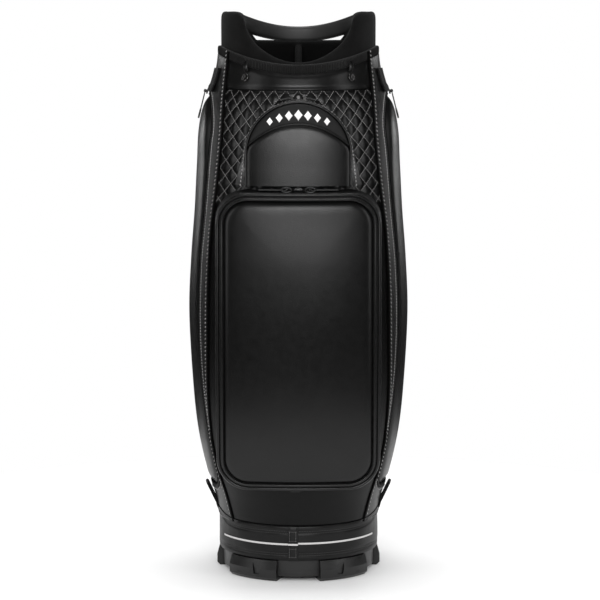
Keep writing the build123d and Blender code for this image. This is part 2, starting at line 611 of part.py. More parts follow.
def pull_tab(length, width, thick, ring_r=0.0):
    """A pull: an eye on the pin and a tab that runs along local +X from it, with a ring if it has one."""
    eye_w = SLIDER_W - 2 * EAR_T - 0.8
    start = EYE_R[1] + 3.2
    tab = slab(start, start + length, -width / 2, width / 2, -thick / 2, thick / 2)
    tab = fillet(tab.edges().filter_by(Axis.Z), width / 2 - 0.6)
    pull = Rot(90, 0, 0) * Cylinder(EYE_R[1], eye_w)
    pull += slab(1.6, start + 1, -eye_w / 2, eye_w / 2, -thick / 2, thick / 2)
    pull += tab
    if ring_r:
        centre = Pos(start + length + ring_r - 2.5, 0, 0)
        pull += centre * Cylinder(ring_r, thick + 0.6)
        pull -= centre * Cylinder(ring_r - 2.6, thick + 5)
    return pull - Rot(90, 0, 0) * Cylinder(EYE_R[0], eye_w + 2)


def make_front_sliders():
    """Two sliders at the middle of the front pocket's top edge. They run in the plane of its top wall."""
    top_z = FRONT_MID_Z + FRONT_H / 2
    taper = math.radians(GUSSET_TAPER)
    run_y = -(barrel_radius(top_z) + sum(ZIP_OFFSETS) / 2)
    track_z = top_z + (GUSSET_FRONT_Y + run_y) * math.tan(taper) + 1.4
    reach = (POCKET_AXIS_Y - run_y) / math.cos(taper)
    plane = Pos(0, run_y, track_z) * Rot(GUSSET_TAPER, 0, 0)
    for sign, side in ((-1, "left"), (1, "right")):
        place = plane * Pos(0, reach, 0) * Rot(0, 0, sign * FRONT_SLIDER_TURN) * Pos(0, -reach, 0)
        save(f"front_slider_{side}", place * slider_body())
        pull = Rot(0, 0, 0 if sign > 0 else 180) * pull_tab(17, 7.0, 1.6)
        save(f"front_pull_{side}", place * Pos(0, 0, PIN_H) * pull)


def make_upper_sliders():
    """Two small sliders at the top of the upper pocket's arch."""
    run_y = -(barrel_radius(ARCH_MID_Z + ARCH_R) + 6.0)
    for sign, side in ((-1, "left"), (1, "right")):
        place = Pos(0, run_y, ARCH_MID_Z) * Rot(0, sign * UPPER_SLIDER_TURN, 0) * Pos(0, 0, ARCH_R + 1.4)
        save(f"upper_slider_{side}", place * slider_body())
        pull = Rot(0, 0, 0 if sign > 0 else 180) * Rot(0, 4, 0) * pull_tab(15, 5.6, 1.6)
        save(f"upper_pull_{side}", place * Pos(0, 0, PIN_H) * pull)


def make_side_sliders():
    """A slider at the top of each side pocket. Its pull lies down over the door and ends in a ring."""
    z = SIDE_Z[1] + 3.4
    wall = radial(SIDE_SLIDER_THETA, barrel_radius(z) + 1.5, z, -barrel_tilt(z))
    place = wall * Rot(0, 90, 0) * Rot(0, 0, 90)
    pull = Pos(0, 0, PIN_H) * Rot(0, 0, -90) * Rot(0, 2.5, 0) * pull_tab(26, 7.0, 1.6, ring_r=8.0)
    for side, turn in (("right", lambda s: s), ("left", left_of)):
        save(f"{side}_slider", turn(place * slider_body(pin_across=False)))
        save(f"{side}_pull", turn(place * pull))


# ---------------------------------------------------------------- run
def main():
    base_thetas, base_z = make_base()
    make_belt()
    cuff_thetas, cuff_z = make_tube(base_thetas, base_z)
    make_dividers()
    make_collar(cuff_thetas, cuff_z)
    make_front_skins()
    make_side_skins()
    make_spine()
    make_strap()
    make_side_webbing()
    make_snaps()
    make_front_pocket()
    make_upper_pocket()
    make_front_sliders()
    make_upper_sliders()
    make_side_sliders()


main()
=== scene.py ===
"""Golf staff bag: the looks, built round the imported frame. Lengths are in metres unless a name says otherwise."""

import math

import bmesh
import bpy
import numpy as np
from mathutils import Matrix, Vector


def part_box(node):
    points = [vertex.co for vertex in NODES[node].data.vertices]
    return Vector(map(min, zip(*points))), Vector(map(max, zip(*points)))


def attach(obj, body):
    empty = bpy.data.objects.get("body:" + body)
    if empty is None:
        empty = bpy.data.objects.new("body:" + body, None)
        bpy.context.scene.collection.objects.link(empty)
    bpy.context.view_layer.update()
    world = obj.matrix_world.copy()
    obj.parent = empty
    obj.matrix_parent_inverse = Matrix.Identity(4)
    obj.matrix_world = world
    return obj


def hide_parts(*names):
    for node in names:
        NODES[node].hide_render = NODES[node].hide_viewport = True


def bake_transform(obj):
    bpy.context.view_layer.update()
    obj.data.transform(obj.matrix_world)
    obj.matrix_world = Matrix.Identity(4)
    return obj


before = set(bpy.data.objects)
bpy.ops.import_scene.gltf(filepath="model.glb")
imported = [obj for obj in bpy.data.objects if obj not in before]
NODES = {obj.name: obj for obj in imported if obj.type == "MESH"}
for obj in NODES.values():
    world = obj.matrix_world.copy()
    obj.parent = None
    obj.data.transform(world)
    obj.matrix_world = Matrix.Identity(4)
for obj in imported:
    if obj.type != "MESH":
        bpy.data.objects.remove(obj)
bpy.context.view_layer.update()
MM = 0.001

# ---------------------------------------------------------------- driving dimensions
# The barrel's outline: height and radius, in mm, as in the frame.
BARREL_MM = [
    (88, 127.0), (120, 134.0), (155, 145.5), (200, 155.5), (260, 164.8), (330, 171.0), (405, 173.5),
    (500, 171.0), (590, 163.8), (650, 159.6), (700, 155.0), (735, 149.0), (770, 138.5), (800, 130.0),
    (832, 126.0),
]
# The big seam beside the front panels: height and distance from the middle, in mm.
SEAM_MM = [
    (88, 104.0), (128, 114.0), (171, 127.0), (209, 135.0), (275, 141.3), (380, 142.3), (488, 140.0),
    (560, 135.0), (628, 126.0), (700, 118.8), (760, 115.3), (812, 110.5), (840, 108.0),
]
SIDES = ((-1, "left"), (1, "right"))
SKIN = 2.6 * MM
SKIN_FOOT_Z = 0.0855
SPINE_R = 0.1246
POCKET_AXIS_Y = 0.250
ARCH_AXIS_Y = 0.090
REAR_THETA = math.radians(135)
FLOOR_R = 0.95
STUDIO_FILL, STUDIO_DARK = 0.85, 0.015
CAMERA_PLACE, CAMERA_DIP, CAMERA_LENS = (0.0025, -4.0, 0.92), math.radians(6.99), 151.5

HANDLE_RISE = 0.0235
BAND_LOW, BAND_HIGH, BAND_RISE, BAND_HALF = 0.7905, 0.8065, 0.032, 0.135
TOP_SEAM_Z = 0.769
QUILT_W, QUILT_H = 0.0200, 0.0240
QUILT_PUFF = 0.0012
BELT_LOW, BELT_HIGH, BELT_ROWS = 0.0332, 0.0890, (0.0085, 0.0120)
STRAP_AXIS_Y, STRAP_MID_Z, STRAP_HALF_Z, STRAP_BOW = 0.1370, 0.5450, 0.2150, 0.0655

DOOR_LOW, DOOR_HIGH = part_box("front_door_board")
DOOR_MID_Z = (DOOR_LOW.z + DOOR_HIGH.z) / 2
DOOR_W, DOOR_H = DOOR_HIGH.x - DOOR_LOW.x, DOOR_HIGH.z - DOOR_LOW.z
DOOR_CORNER = 0.046
PAD_INSET = 0.0085
TAPER = math.tan(math.radians(6))

ARCH_LOW, ARCH_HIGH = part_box("upper_pocket_gusset")
ARCH_R = (ARCH_HIGH.x - ARCH_LOW.x) / 2
ARCH_MID_Z = ARCH_HIGH.z - ARCH_R
ARCH_FOOT_Z = ARCH_LOW.z
FLAP_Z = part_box("upper_pocket_face")[0].z

SIDE_FRONT_Y, SIDE_REAR_Y = -0.072, 0.094
SIDE_LOW_Z, SIDE_HIGH_Z = 0.142, 0.758
SIDE_TOP_CORNER, SIDE_FOOT_CORNER = 0.062, 0.028
SIDE_GAP = 0.0075


# ---------------------------------------------------------------- curves and frames
def smooth_line(points):
    """A smooth function through points in mm, by cubic pieces with averaged slopes."""
    xs = np.array([p[0] for p in points], float) * MM
    ys = np.array([p[1] for p in points], float) * MM
    slopes = np.gradient(ys, xs)

    def at(x):
        x = np.clip(np.asarray(x, float), xs[0], xs[-1])
        i = np.clip(np.searchsorted(xs, x, side="right") - 1, 0, len(xs) - 2)
        h = xs[i + 1] - xs[i]
        t = (x - xs[i]) / h
        rise = (2 * t**3 - 3 * t**2 + 1) * ys[i] + (3 * t**2 - 2 * t**3) * ys[i + 1]
        return rise + h * ((t**3 - 2 * t**2 + t) * slopes[i] + (t**3 - t**2) * slopes[i + 1])

    return at


barrel = smooth_line(BARREL_MM)
seam_x = smooth_line(SEAM_MM)


def unit(v):
    """Vectors at length 1."""
    return v / np.maximum(np.linalg.norm(v, axis=-1, keepdims=True), 1e-12)


def points_of(*columns):
    """Columns of any matching shapes as one array of points."""
    return np.stack(np.broadcast_arrays(*columns), axis=-1)


def polar(r, theta, z):
    """A point at a radius and height, theta from the front towards +X."""
    return points_of(r * np.sin(theta), -r * np.cos(theta), z)


def bell(x, width):
    """A bump of height 1 at x = 0."""
    return np.exp(-((x / width) ** 2))


def full_turn(count):
    """Angles right round a circle, the last one short of the first."""
    return np.linspace(0, 2 * math.pi, count, endpoint=False)


def arc(centre, radius, start, end, count):
    """Points round a circle, from one angle to another."""
    turn = np.linspace(start, end, count)
    return points_of(centre[0] + radius * np.cos(turn), centre[1] + radius * np.sin(turn))


def wall_slope(z):
    """How fast the barrel's radius grows with height."""
    return (barrel(z + 0.002) - barrel(z - 0.002)) / 0.004


def seam_theta(z):
    """Angle of the big seam from the front, at a height."""
    return np.arcsin(np.clip(seam_x(z) / barrel(z), -1, 1))


def on_wall(theta, z, off=0.0):
    """A point on the barrel, or off it by some distance."""
    return polar(barrel(z) + off, theta, z)


def on_front(x, z, off, axis_y):
    """A point on a pocket face, which curves about an upright line at axis_y."""
    r = barrel(z) + off + axis_y
    return points_of(x, axis_y - np.sqrt(r * r - x * x), z)


def wall_normals(theta, z):
    """Outward normals of the barrel."""
    return unit(points_of(np.sin(theta), -np.cos(theta), -wall_slope(z)))


def front_normals(path, axis_y):
    """Outward normals of a pocket face along a path of (x, z)."""
    x, z = path[:, 0], path[:, 1]
    outward = on_front(x, z, 0.02, axis_y) - [0, axis_y, 0]
    outward[:, 2] = 0
    outward = unit(outward)
    outward[:, 2] = -wall_slope(z)
    return unit(outward)


def wall_line(theta, z, off):
    """Points along a line on the barrel, and its outward normals there."""
    return on_wall(theta, z, off), wall_normals(theta, z)


def front_line(path, off, axis_y):
    """Points along a path of (x, z) on a pocket face, and the outward normals there."""
    return on_front(path[:, 0], path[:, 1], off, axis_y), front_normals(path, axis_y)


def band_line(x, level):
    """Height of the collar band's edge at x: lowest in the middle, rising to the sides."""
    return level + BAND_RISE * (np.abs(x) / BAND_HALF) ** 2


def belt_ear(theta):
    """How far the belt's top edge rises towards the sides, where the grab handles come out of it."""
    return 0.019 * bell(np.abs(theta) - 1.62, 0.42)


def crescent_edge(x):
    """Height of the crescent's lower edge."""
    return 0.7185 - 0.0355 * (np.abs(x) / ARCH_R) ** 2.1


def door_path(inset=0.0):
    """Closed path (x, z) round the front door, clockwise from the top of its right side."""
    r = max(DOOR_CORNER - inset, 1e-5)
    w, h = DOOR_W / 2 - inset - r, DOOR_H / 2 - inset - r
    signs = ((1, 1), (1, -1), (-1, -1), (-1, 1))
    corners = []
    for k, (sx, sz) in enumerate(signs):
        start = math.pi / 2 * (1 - k)
        corners.append(arc((sx * w, DOOR_MID_Z + sz * h), r, start, start - math.pi / 2, 14))
    points = []
    for corner, following in zip(corners, corners[1:] + corners[:1]):
        run = corner[-1] + (following[0] - corner[-1]) * np.linspace(0, 1, 62)[1:-1, None]
        points += [corner, run]
    return np.concatenate(points)


def arch_path(inset=0.0, foot=None):
    """Open path (x, z) up one side of the upper pocket, over its arch and down the other side."""
    foot = ARCH_FOOT_Z if foot is None else foot
    r = ARCH_R - inset
    t = np.linspace(0, 1, 17)[:-1]
    right = points_of(r, foot + (ARCH_MID_Z - foot) * t)
    return np.concatenate([right * [-1, 1], arc((0, ARCH_MID_Z), r, math.pi, 0, 80), right[::-1]])


def side_path(grow=0.0):
    """Open path (y, z) round a side pocket: along its foot, up its front and back along its top."""
    y0 = SIDE_FRONT_Y - grow
    z0, z1 = SIDE_LOW_Z - grow, SIDE_HIGH_Z + grow
    foot, top = SIDE_FOOT_CORNER + grow, SIDE_TOP_CORNER + grow
    low = arc((y0 + foot, z0 + foot), foot, -math.pi / 2, -math.pi, 14)
    high = arc((y0 + top, z1 - top), top, math.pi, math.pi / 2, 24)
    foot_run = points_of(np.linspace(SIDE_REAR_Y, y0 + foot, 24), z0)[:-1]
    top_run = points_of(np.linspace(y0 + top, SIDE_REAR_Y, 20), z1)[1:]
    up = points_of(y0, np.linspace(z0 + foot, z1 - top, 60))[1:-1]
    return np.concatenate([foot_run, low, up, high, top_run])


def resample(points, step):
    """Evenly spaced points along a path. Columns after the third, such as normals, are only carried along."""
    points = np.asarray(points, float)
    gone = np.concatenate([[0], np.cumsum(np.linalg.norm(np.diff(points[:, :3], axis=0), axis=1))])
    count = max(2, int(round(gone[-1] / step)) + 1)
    at = np.linspace(0, gone[-1], count)
    return np.stack([np.interp(at, gone, points[:, k]) for k in range(points.shape[1])], axis=-1)


# ---------------------------------------------------------------- mesh making
def build(name, verts, faces, material, body="shell", uv=None, crease=50):
    """A smooth mesh object that rides on a body. Edges sharper than crease, in degrees, stay."""
    mesh = bpy.data.meshes.new(name)
    mesh.from_pydata(np.asarray(verts, float).tolist(), [], faces)
    if uv is not None:
        layer = mesh.uv_layers.new(name="UVMap")
        corner = np.zeros(len(mesh.loops), np.int32)
        mesh.loops.foreach_get("vertex_index", corner)
        layer.data.foreach_set("uv", np.asarray(uv, np.float32)[corner].ravel())
    mesh.validate()
    mesh.shade_smooth()
    mesh.set_sharp_from_angle(angle=math.radians(crease))
    mesh.materials.append(material)
    obj = bpy.data.objects.new(name, mesh)
    bpy.context.scene.collection.objects.link(obj)
    if body is not None:
        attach(obj, body)
    return obj


def quads(rows, cols, wrap=False, closed=False):
    """Faces of a grid of vertices. wrap joins its last column to the first, closed its last row to the first."""
    down, over = np.arange(rows if closed else rows - 1), np.arange(cols if wrap else cols - 1)
    i, j = np.meshgrid(down, over, indexing="ij")
    k, n = (j + 1) % cols, (i + 1) % rows
    return np.stack([i * cols + j, i * cols + k, n * cols + k, n * cols + j], axis=-1).reshape(-1, 4)


def shell(name, outer, inner, material, body="shell", wrap=False, keep=None):
    """A closed skin between two grids of points. keep marks the cells that stay, for windows in it."""
    rows, cols = outer.shape[:2]
    count = rows * cols
    faces = quads(rows, cols, wrap)
    if keep is not None:
        faces = faces[keep.reshape(-1)]
    edges = {(a, b): face for face in faces for a, b in zip(face, np.roll(face, -1))}
    rim = [(b, a, a + count, b + count) for a, b in edges if (b, a) not in edges]
    faces = np.concatenate([faces, faces[:, ::-1] + count, np.array(rim)])
    verts = np.concatenate([outer.reshape(-1, 3), inner.reshape(-1, 3)])
    uv = points_of(np.linspace(0, 1, cols)[None, :], np.linspace(0, 1, rows)[:, None]).reshape(-1, 2)
    used, compact = np.unique(faces, return_inverse=True)
    faces = compact.reshape(faces.shape).tolist()
    return build(name, verts[used], faces, material, body, np.tile(uv, (2, 1))[used])


class Pile:
    """Many small copies of a template gathered into one mesh."""

    def __init__(self):
        self.verts, self.faces, self.count = [], [], 0

    def add(self, verts, faces):
        self.verts.append(verts.reshape(-1, 3))
        self.faces.append(faces + self.count)
        self.count += len(self.verts[-1])

    def copies(self, template, faces, at, along, normal):
        """Places the template, drawn in (along, across, out), at each point."""
        along = unit(along - normal * np.sum(along * normal, axis=-1, keepdims=True))
        axes = np.stack([along, np.cross(normal, along), normal], axis=1)
        starts = np.arange(len(at))[:, None, None] * len(template)
        self.add(at[:, None, :] + template @ axes, (faces[None] + starts).reshape(-1, 4))

    def stitch(self, points, normals, pitch, template):
        """Adds a row of stitches along a path that is given with its surface normals."""
        both = resample(np.concatenate([points, normals], axis=1), pitch)
        at, normal = both[:, :3], unit(both[:, 3:])
        self.copies(*template, at, unit(np.gradient(at, axis=0)), normal)

    def build(self, name, material, body="shell"):
        return build(name, np.concatenate(self.verts), np.concatenate(self.faces).tolist(), material, body)


def grain(length, radius, lift, rings=5, sides=6, twist=0.0):
    """A stitch's thread: a short arched bead, thick in the middle and sunk at its ends."""
    u = np.linspace(-1, 1, rings)
    r = radius * np.sqrt(np.clip(1 - 0.8 * u**4, 0.1, 1))
    z = lift * (1 - u**2) - radius * 0.5 * u**2
    a = full_turn(sides)
    x = u * length / 2
    verts = np.array([(x[i], r[i] * math.cos(t), z[i] + r[i] * math.sin(t)) for i in range(rings) for t in a])
    c, s = math.cos(twist), math.sin(twist)
    verts[:, :2] = verts[:, :2] @ np.array([[c, s], [-s, c]])
    faces = quads(rings, sides, wrap=True)
    caps = []
    for start in (0, (rings - 1) * sides):
        ring = [start + k for k in range(sides)]
        caps += [(ring[0], ring[1], ring[2], ring[3]), (ring[0], ring[3], ring[4], ring[5])]
    return verts, np.concatenate([faces, np.array(caps)])


def sweep(points, normals, profile, closed=False):
    """A profile of (across, out) points carried along a path. Returns a grid of points and its faces."""
    along = np.roll(points, -1, axis=0) - np.roll(points, 1, axis=0) if closed else np.gradient(points, axis=0)
    along = unit(along)
    normals = unit(normals - along * np.sum(along * normals, axis=-1, keepdims=True))
    across = np.cross(normals, along)
    grid = points[:, None] + across[:, None] * profile[None, :, 0:1] + normals[:, None] * profile[None, :, 1:2]
    return grid, quads(*grid.shape[:2], wrap=True, closed=closed)


def round_profile(radius, sides=10):
    """A round cord's section."""
    a = full_turn(sides)
    return points_of(radius * np.cos(a), radius * np.sin(a))


def box_profile(width, thick, bulge=0.0):
    """A flat band's section with rounded edges, crowned by bulge."""
    half, t = width / 2, thick / 2
    r = t * 0.9
    xs = np.linspace(-half + r, half - r, 9)
    top = [(x, t + bulge * (1 - (x / half) ** 2)) for x in xs]
    low = [(x, -t) for x in xs[::-1]]
    edge_r = [(half - r * 0.3, t * 0.55), (half, 0), (half - r * 0.3, -t * 0.55)]
    edge_l = [(-half + r * 0.3, -t * 0.55), (-half, 0), (-half + r * 0.3, t * 0.55)]
    return np.array(top + edge_r + low + edge_l)[::-1]


def tube(name, points, normals, profile, material, body="shell", closed=False):
    """A swept cord or band as its own piece, its ends closed, with UVs in metres round and along it."""
    grid, faces = sweep(points, np.broadcast_to(normals, points.shape), profile, closed)
    rows, cols = grid.shape[:2]
    faces = faces.tolist()
    if not closed:
        faces += [list(range(cols)), [(rows - 1) * cols + k for k in range(cols)][::-1]]
    steps = [np.linalg.norm(np.diff(line, axis=0), axis=1) for line in (profile, points)]
    u, v = (np.concatenate([[0], np.cumsum(step)]) for step in steps)
    uv = points_of(u[None, :], v[:, None]).reshape(-1, 2)
    return build(name, grid.reshape(-1, 3), faces, material, body, uv, crease=60)


SADDLE = grain(0.0034, 0.00060, 0.0005, twist=0.5)
SADDLE_BACK = grain(0.0034, 0.00060, 0.0005, twist=-0.5)
FINE = grain(0.0026, 0.00042, 0.0002)
MEDIUM = grain(0.0027, 0.00058, 0.0004)
QUILT_THREAD = grain(0.0020, 0.00025, 0.00015)


# ---------------------------------------------------------------- materials
def surface(name, space="Object"):
    """A new material, its nodes and links, its shader and the coordinates its textures use."""
    material = bpy.data.materials.new(name)
    material.use_nodes = True
    nodes = material.node_tree.nodes
    coords = nodes.new("ShaderNodeTexCoord").outputs[space]
    return material, nodes, material.node_tree.links, nodes["Principled BSDF"], coords


def add(nodes, kind, **settings):
    """A new node with its inputs or its own settings set."""
    node = nodes.new(kind)
    for key, value in settings.items():
        if key in node.inputs:
            node.inputs[key].default_value = value
        else:
            setattr(node, key, value)
    return node


def noise(nodes, links, coords, scale, detail=3.0, rough=0.55):
    """Cloudy noise, its scale in lumps a metre."""
    node = add(nodes, "ShaderNodeTexNoise", Scale=scale, Detail=detail, Roughness=rough)
    links.new(coords, node.inputs["Vector"])
    return node.outputs["Fac"]


def tint(nodes, links, shader, value, low, high, start=0.3, end=0.7):
    """Base colour between two grey levels, led by a value."""
    node = nodes.new("ShaderNodeValToRGB")
    for element, place, level in zip(node.color_ramp.elements, (start, end), (low, high)):
        element.position = place
        element.color = shade(level)
    links.new(value, node.inputs["Fac"])
    links.new(node.outputs["Color"], shader.inputs["Base Color"])


def polish(nodes, links, shader, value, low, high):
    """Roughness between two numbers, led by a value."""
    node = nodes.new("ShaderNodeMapRange")
    for key, number in (("From Min", 0.3), ("From Max", 0.7), ("To Min", low), ("To Max", high)):
        node.inputs[key].default_value = number
    links.new(value, node.inputs["Value"])
    links.new(node.outputs["Result"], shader.inputs["Roughness"])


def combine(nodes, links, operation, a, b):
    """Two values joined by a math operation."""
    node = add(nodes, "ShaderNodeMath", operation=operation)
    links.new(a, node.inputs[0])
    links.new(b, node.inputs[1])
    return node.outputs[0]


def bumps(nodes, links, shader, layers):
    """Stacks bump layers of (height socket, depth in metres) on a shader's normal."""
    normal = None
    for height, depth in layers:
        node = add(nodes, "ShaderNodeBump", Distance=depth, Strength=1.0)
        links.new(height, node.inputs["Height"])
        if normal is not None:
            links.new(normal, node.inputs["Normal"])
        normal = node.outputs["Normal"]
    links.new(normal, shader.inputs["Normal"])


def shade(level):
    """A neutral colour, a touch warmer than grey."""
    return (level * 1.02, level, level * 0.995, 1.0)


def leather(name, level, rough, grain_mm=1.1, depth=0.00012, wrinkle=0.0, gloss=0.36):
    """Coated leatherette: fine pebbled grain, cloudy colour and a broken sheen."""
    material, nodes, links, shader, coords = surface(name)
    cloud = noise(nodes, links, coords, 22.0, 4.0)
    tint(nodes, links, shader, cloud, level * 0.85, level * 1.2)
    smear = noise(nodes, links, coords, 90.0, 5.0)
    polish(nodes, links, shader, smear, rough - 0.02, rough + 0.03)
    cells = add(nodes, "ShaderNodeTexVoronoi", Scale=1000.0 / grain_mm, feature="SMOOTH_F1")
    links.new(coords, cells.inputs["Vector"])
    pores = noise(nodes, links, coords, 2400.0, 2.0)
    layers = [(cells.outputs["Distance"], depth), (pores, depth * 0.15)]
    if wrinkle:
        layers.insert(0, (noise(nodes, links, coords, 38.0, 2.0, 0.4), wrinkle))
    bumps(nodes, links, shader, layers)
    shader.inputs["Specular IOR Level"].default_value = gloss
    return material


def cloth(name, level, rough=0.85, thread_mm=0.7, depth=0.00025, sheen=0.25):
    """Matte fabric: threads two ways, fuzz and a little sheen."""
    material, nodes, links, shader, coords = surface(name)
    cloud = noise(nodes, links, coords, 40.0, 5.0)
    tint(nodes, links, shader, cloud, level * 0.75, level * 1.25)
    threads = []
    for axis in ("X", "Z"):
        wave = add(nodes, "ShaderNodeTexWave", Scale=1000.0 / thread_mm / 6.28, bands_direction=axis)
        wave.inputs["Distortion"].default_value = 0.6
        links.new(coords, wave.inputs["Vector"])
        threads.append(wave.outputs["Fac"])
    weave = combine(nodes, links, "MAXIMUM", *threads)
    fuzz = noise(nodes, links, coords, 1500.0, 3.0)
    bumps(nodes, links, shader, [(weave, depth), (fuzz, depth * 0.8)])
    polish(nodes, links, shader, fuzz, rough - 0.05, rough + 0.08)
    shader.inputs["Sheen Weight"].default_value = sheen
    shader.inputs["Sheen Roughness"].default_value = 0.4
    shader.inputs["Specular IOR Level"].default_value = 0.10
    return material


def uv_weave(name, level, across, along, rough=0.8, depth=0.0003, dark=0.5):
    """Woven tape whose threads follow the piece: across and along scale its waves, on UVs in metres."""
    material, nodes, links, shader, coords = surface(name, "UV")
    place = add(nodes, "ShaderNodeMapping")
    place.inputs["Scale"].default_value = (across, along, 1.0)
    links.new(coords, place.inputs["Vector"])
    waves = []
    for axis in ("X", "Y"):
        wave = add(nodes, "ShaderNodeTexWave", Scale=1.0, bands_direction=axis)
        links.new(place.outputs["Vector"], wave.inputs["Vector"])
        waves.append(wave.outputs["Fac"])
    weave = combine(nodes, links, "MULTIPLY", *waves)
    tint(nodes, links, shader, weave, level * dark, level * 1.4, 0.0, 1.0)
    bumps(nodes, links, shader, [(weave, depth)])
    shader.inputs["Roughness"].default_value = rough
    shader.inputs["Sheen Weight"].default_value = 0.04
    shader.inputs["Specular IOR Level"].default_value = 0.15
    return material


def moulded(name, level, rough=0.55, depth=0.00008, metal=0.0):
    """Moulded plastic or rubber with a fine spark-eroded texture, or brushed metal."""
    material, nodes, links, shader, coords = surface(name)
    cloud = noise(nodes, links, coords, 30.0, 4.0)
    tint(nodes, links, shader, cloud, level * 0.88, level * 1.15)
    speck = noise(nodes, links, coords, 1400.0, 2.0)
    polish(nodes, links, shader, cloud, rough - 0.05, rough + 0.06)
    bumps(nodes, links, shader, [(speck, depth)])
    shader.inputs["Metallic"].default_value = metal
    return material


def thread(name, level, rough=0.6, sheen=0.1):
    """Twisted sewing thread."""
    return cloth(name, level, rough, thread_mm=0.35, depth=0.0001, sheen=sheen)


LEATHER = leather("smooth_leather", 0.0026, 0.31)
STRIP_LEATHER = leather("strip_leather", 0.0062, 0.36)
GUSSET_LEATHER = leather("gusset_leather", 0.016, 0.38)
DOOR_LEATHER = leather("front_leather", 0.0022, 0.31, grain_mm=0.9, depth=0.00009, gloss=0.31)
SIDE_LEATHER = leather("side_leather", 0.0022, 0.36)
QUILT_LEATHER = leather("quilted_leather", 0.0016, 0.30, grain_mm=0.9, depth=0.00009)
# Darkest matte leather: the real black of the crescent, and painted shade on the front pocket's gusset, where it
# stands in for the shadow behind the door.
MATTE_AND_SHADE_LEATHER = leather("matte_and_shade_leather", 0.0010, 0.62, grain_mm=0.8)
PIPING = leather("piping_leather", 0.0016, 0.32, grain_mm=0.7)
DULL_PIPING = leather("dull_piping", 0.0010, 0.75, grain_mm=0.8, gloss=0.06)
LOWER_LEATHER = leather("lower_leather", 0.0014, 0.37, gloss=0.17)
BELT_LEATHER = leather("belt_leather", 0.0026, 0.40, wrinkle=0.0006, gloss=0.24)
COLLAR_FABRIC = cloth("collar_fabric", 0.0038, thread_mm=0.9, sheen=0.03)
DIVIDER_FABRIC = cloth("divider_fabric", 0.0010, sheen=0.01)
LINING = cloth("lining", 0.0015, sheen=0.01)
KNIT = cloth("ribbed_band", 0.0080, thread_mm=0.8, sheen=0.08)
MESH_FABRIC = cloth("strap_mesh", 0.0045, thread_mm=1.4, depth=0.0004, sheen=0.05)
WEBBING = uv_weave("webbing", 0.0045, 210, 260)
ZIP_TAPE = cloth("zip_tape", 0.0012, thread_mm=0.6, sheen=0.02)
ZIP_TEETH = moulded("zip_teeth", 0.005, 0.35)
HANDLE_RUBBER = moulded("handle_rubber", 0.012, 0.50, depth=0.00004)
BASE_PLASTIC = moulded("base_plastic", 0.0035, 0.38)
BOARD_PLASTIC = moulded("board_plastic", 0.0018, 0.55)
PULL_RUBBER = moulded("pull_rubber", 0.003, 0.35)
NICKEL = moulded("black_nickel", 0.10, 0.2, depth=0.00002, metal=1.0)
STEEL = moulded("satin_steel", 0.35, 0.35, depth=0.00002, metal=1.0)
RIVET = moulded("rivet_metal", 0.16, 0.3, depth=0.00002, metal=1.0)
THREAD = thread("grey_thread", 0.27, 0.7, 0.2)
PALE_THREAD = thread("pale_thread", 0.34, 0.7, 0.2)
EDGE_THREAD = thread("edge_thread", 0.22, 0.7)
BLACK_THREAD = thread("black_thread", 0.008)
BELT_THREAD = thread("belt_thread", 0.045)
TAB_THREAD = thread("tab_thread", 0.14)
STRIPE = uv_weave("reflective_stripe", 0.46, 500, 500, rough=0.45, depth=0.00005, dark=0.85)
EMBROIDERY = moulded("embroidery", 0.70, 0.6, depth=0.0001)


# ---------------------------------------------------------------- skins of the barrel
def inside_rect_path(x, z, inset):
    """Is a point inside the front pocket's outline, inset by that much?"""
    w, h, r = DOOR_W / 2 - inset, DOOR_H / 2 - inset, DOOR_CORNER - inset
    dx = np.abs(x) - (w - r)
    dz = np.abs(z - DOOR_MID_Z) - (h - r)
    far = np.hypot(np.maximum(dx, 0), np.maximum(dz, 0)) + np.minimum(np.maximum(dx, dz), 0)
    return far < r


def inside_arch_path(x, z, inset, foot):
    """Is a point inside the upper pocket's outline, inset by that much and above that foot?"""
    r = ARCH_R - inset
    dome = (np.hypot(x, z - ARCH_MID_Z) < r) & (z > ARCH_MID_Z)
    return dome | ((np.abs(x) < r) & (z <= ARCH_MID_Z) & (z > foot))


def inside_side(y, z, grow):
    """Is a point inside a side pocket's outline, grown by that much? y and z are as seen from the side."""
    y0, z0, z1 = SIDE_FRONT_Y - grow, SIDE_LOW_Z - grow, SIDE_HIGH_Z + grow
    top, foot = SIDE_TOP_CORNER + grow, SIDE_FOOT_CORNER + grow
    inside = (y > y0) & (z > z0) & (z < z1)
    high = (y < y0 + top) & (z > z1 - top) & (np.hypot(y - y0 - top, z - z1 + top) > top)
    low = (y < y0 + foot) & (z < z0 + foot) & (np.hypot(y - y0 - foot, z - z0 - foot) > foot)
    return inside & ~high & ~low


def cell_middles(grid):
    """Means of the four corners of each cell of a grid."""
    return (grid[:-1, :-1] + grid[1:, :-1] + grid[:-1, 1:] + grid[1:, 1:]) / 4


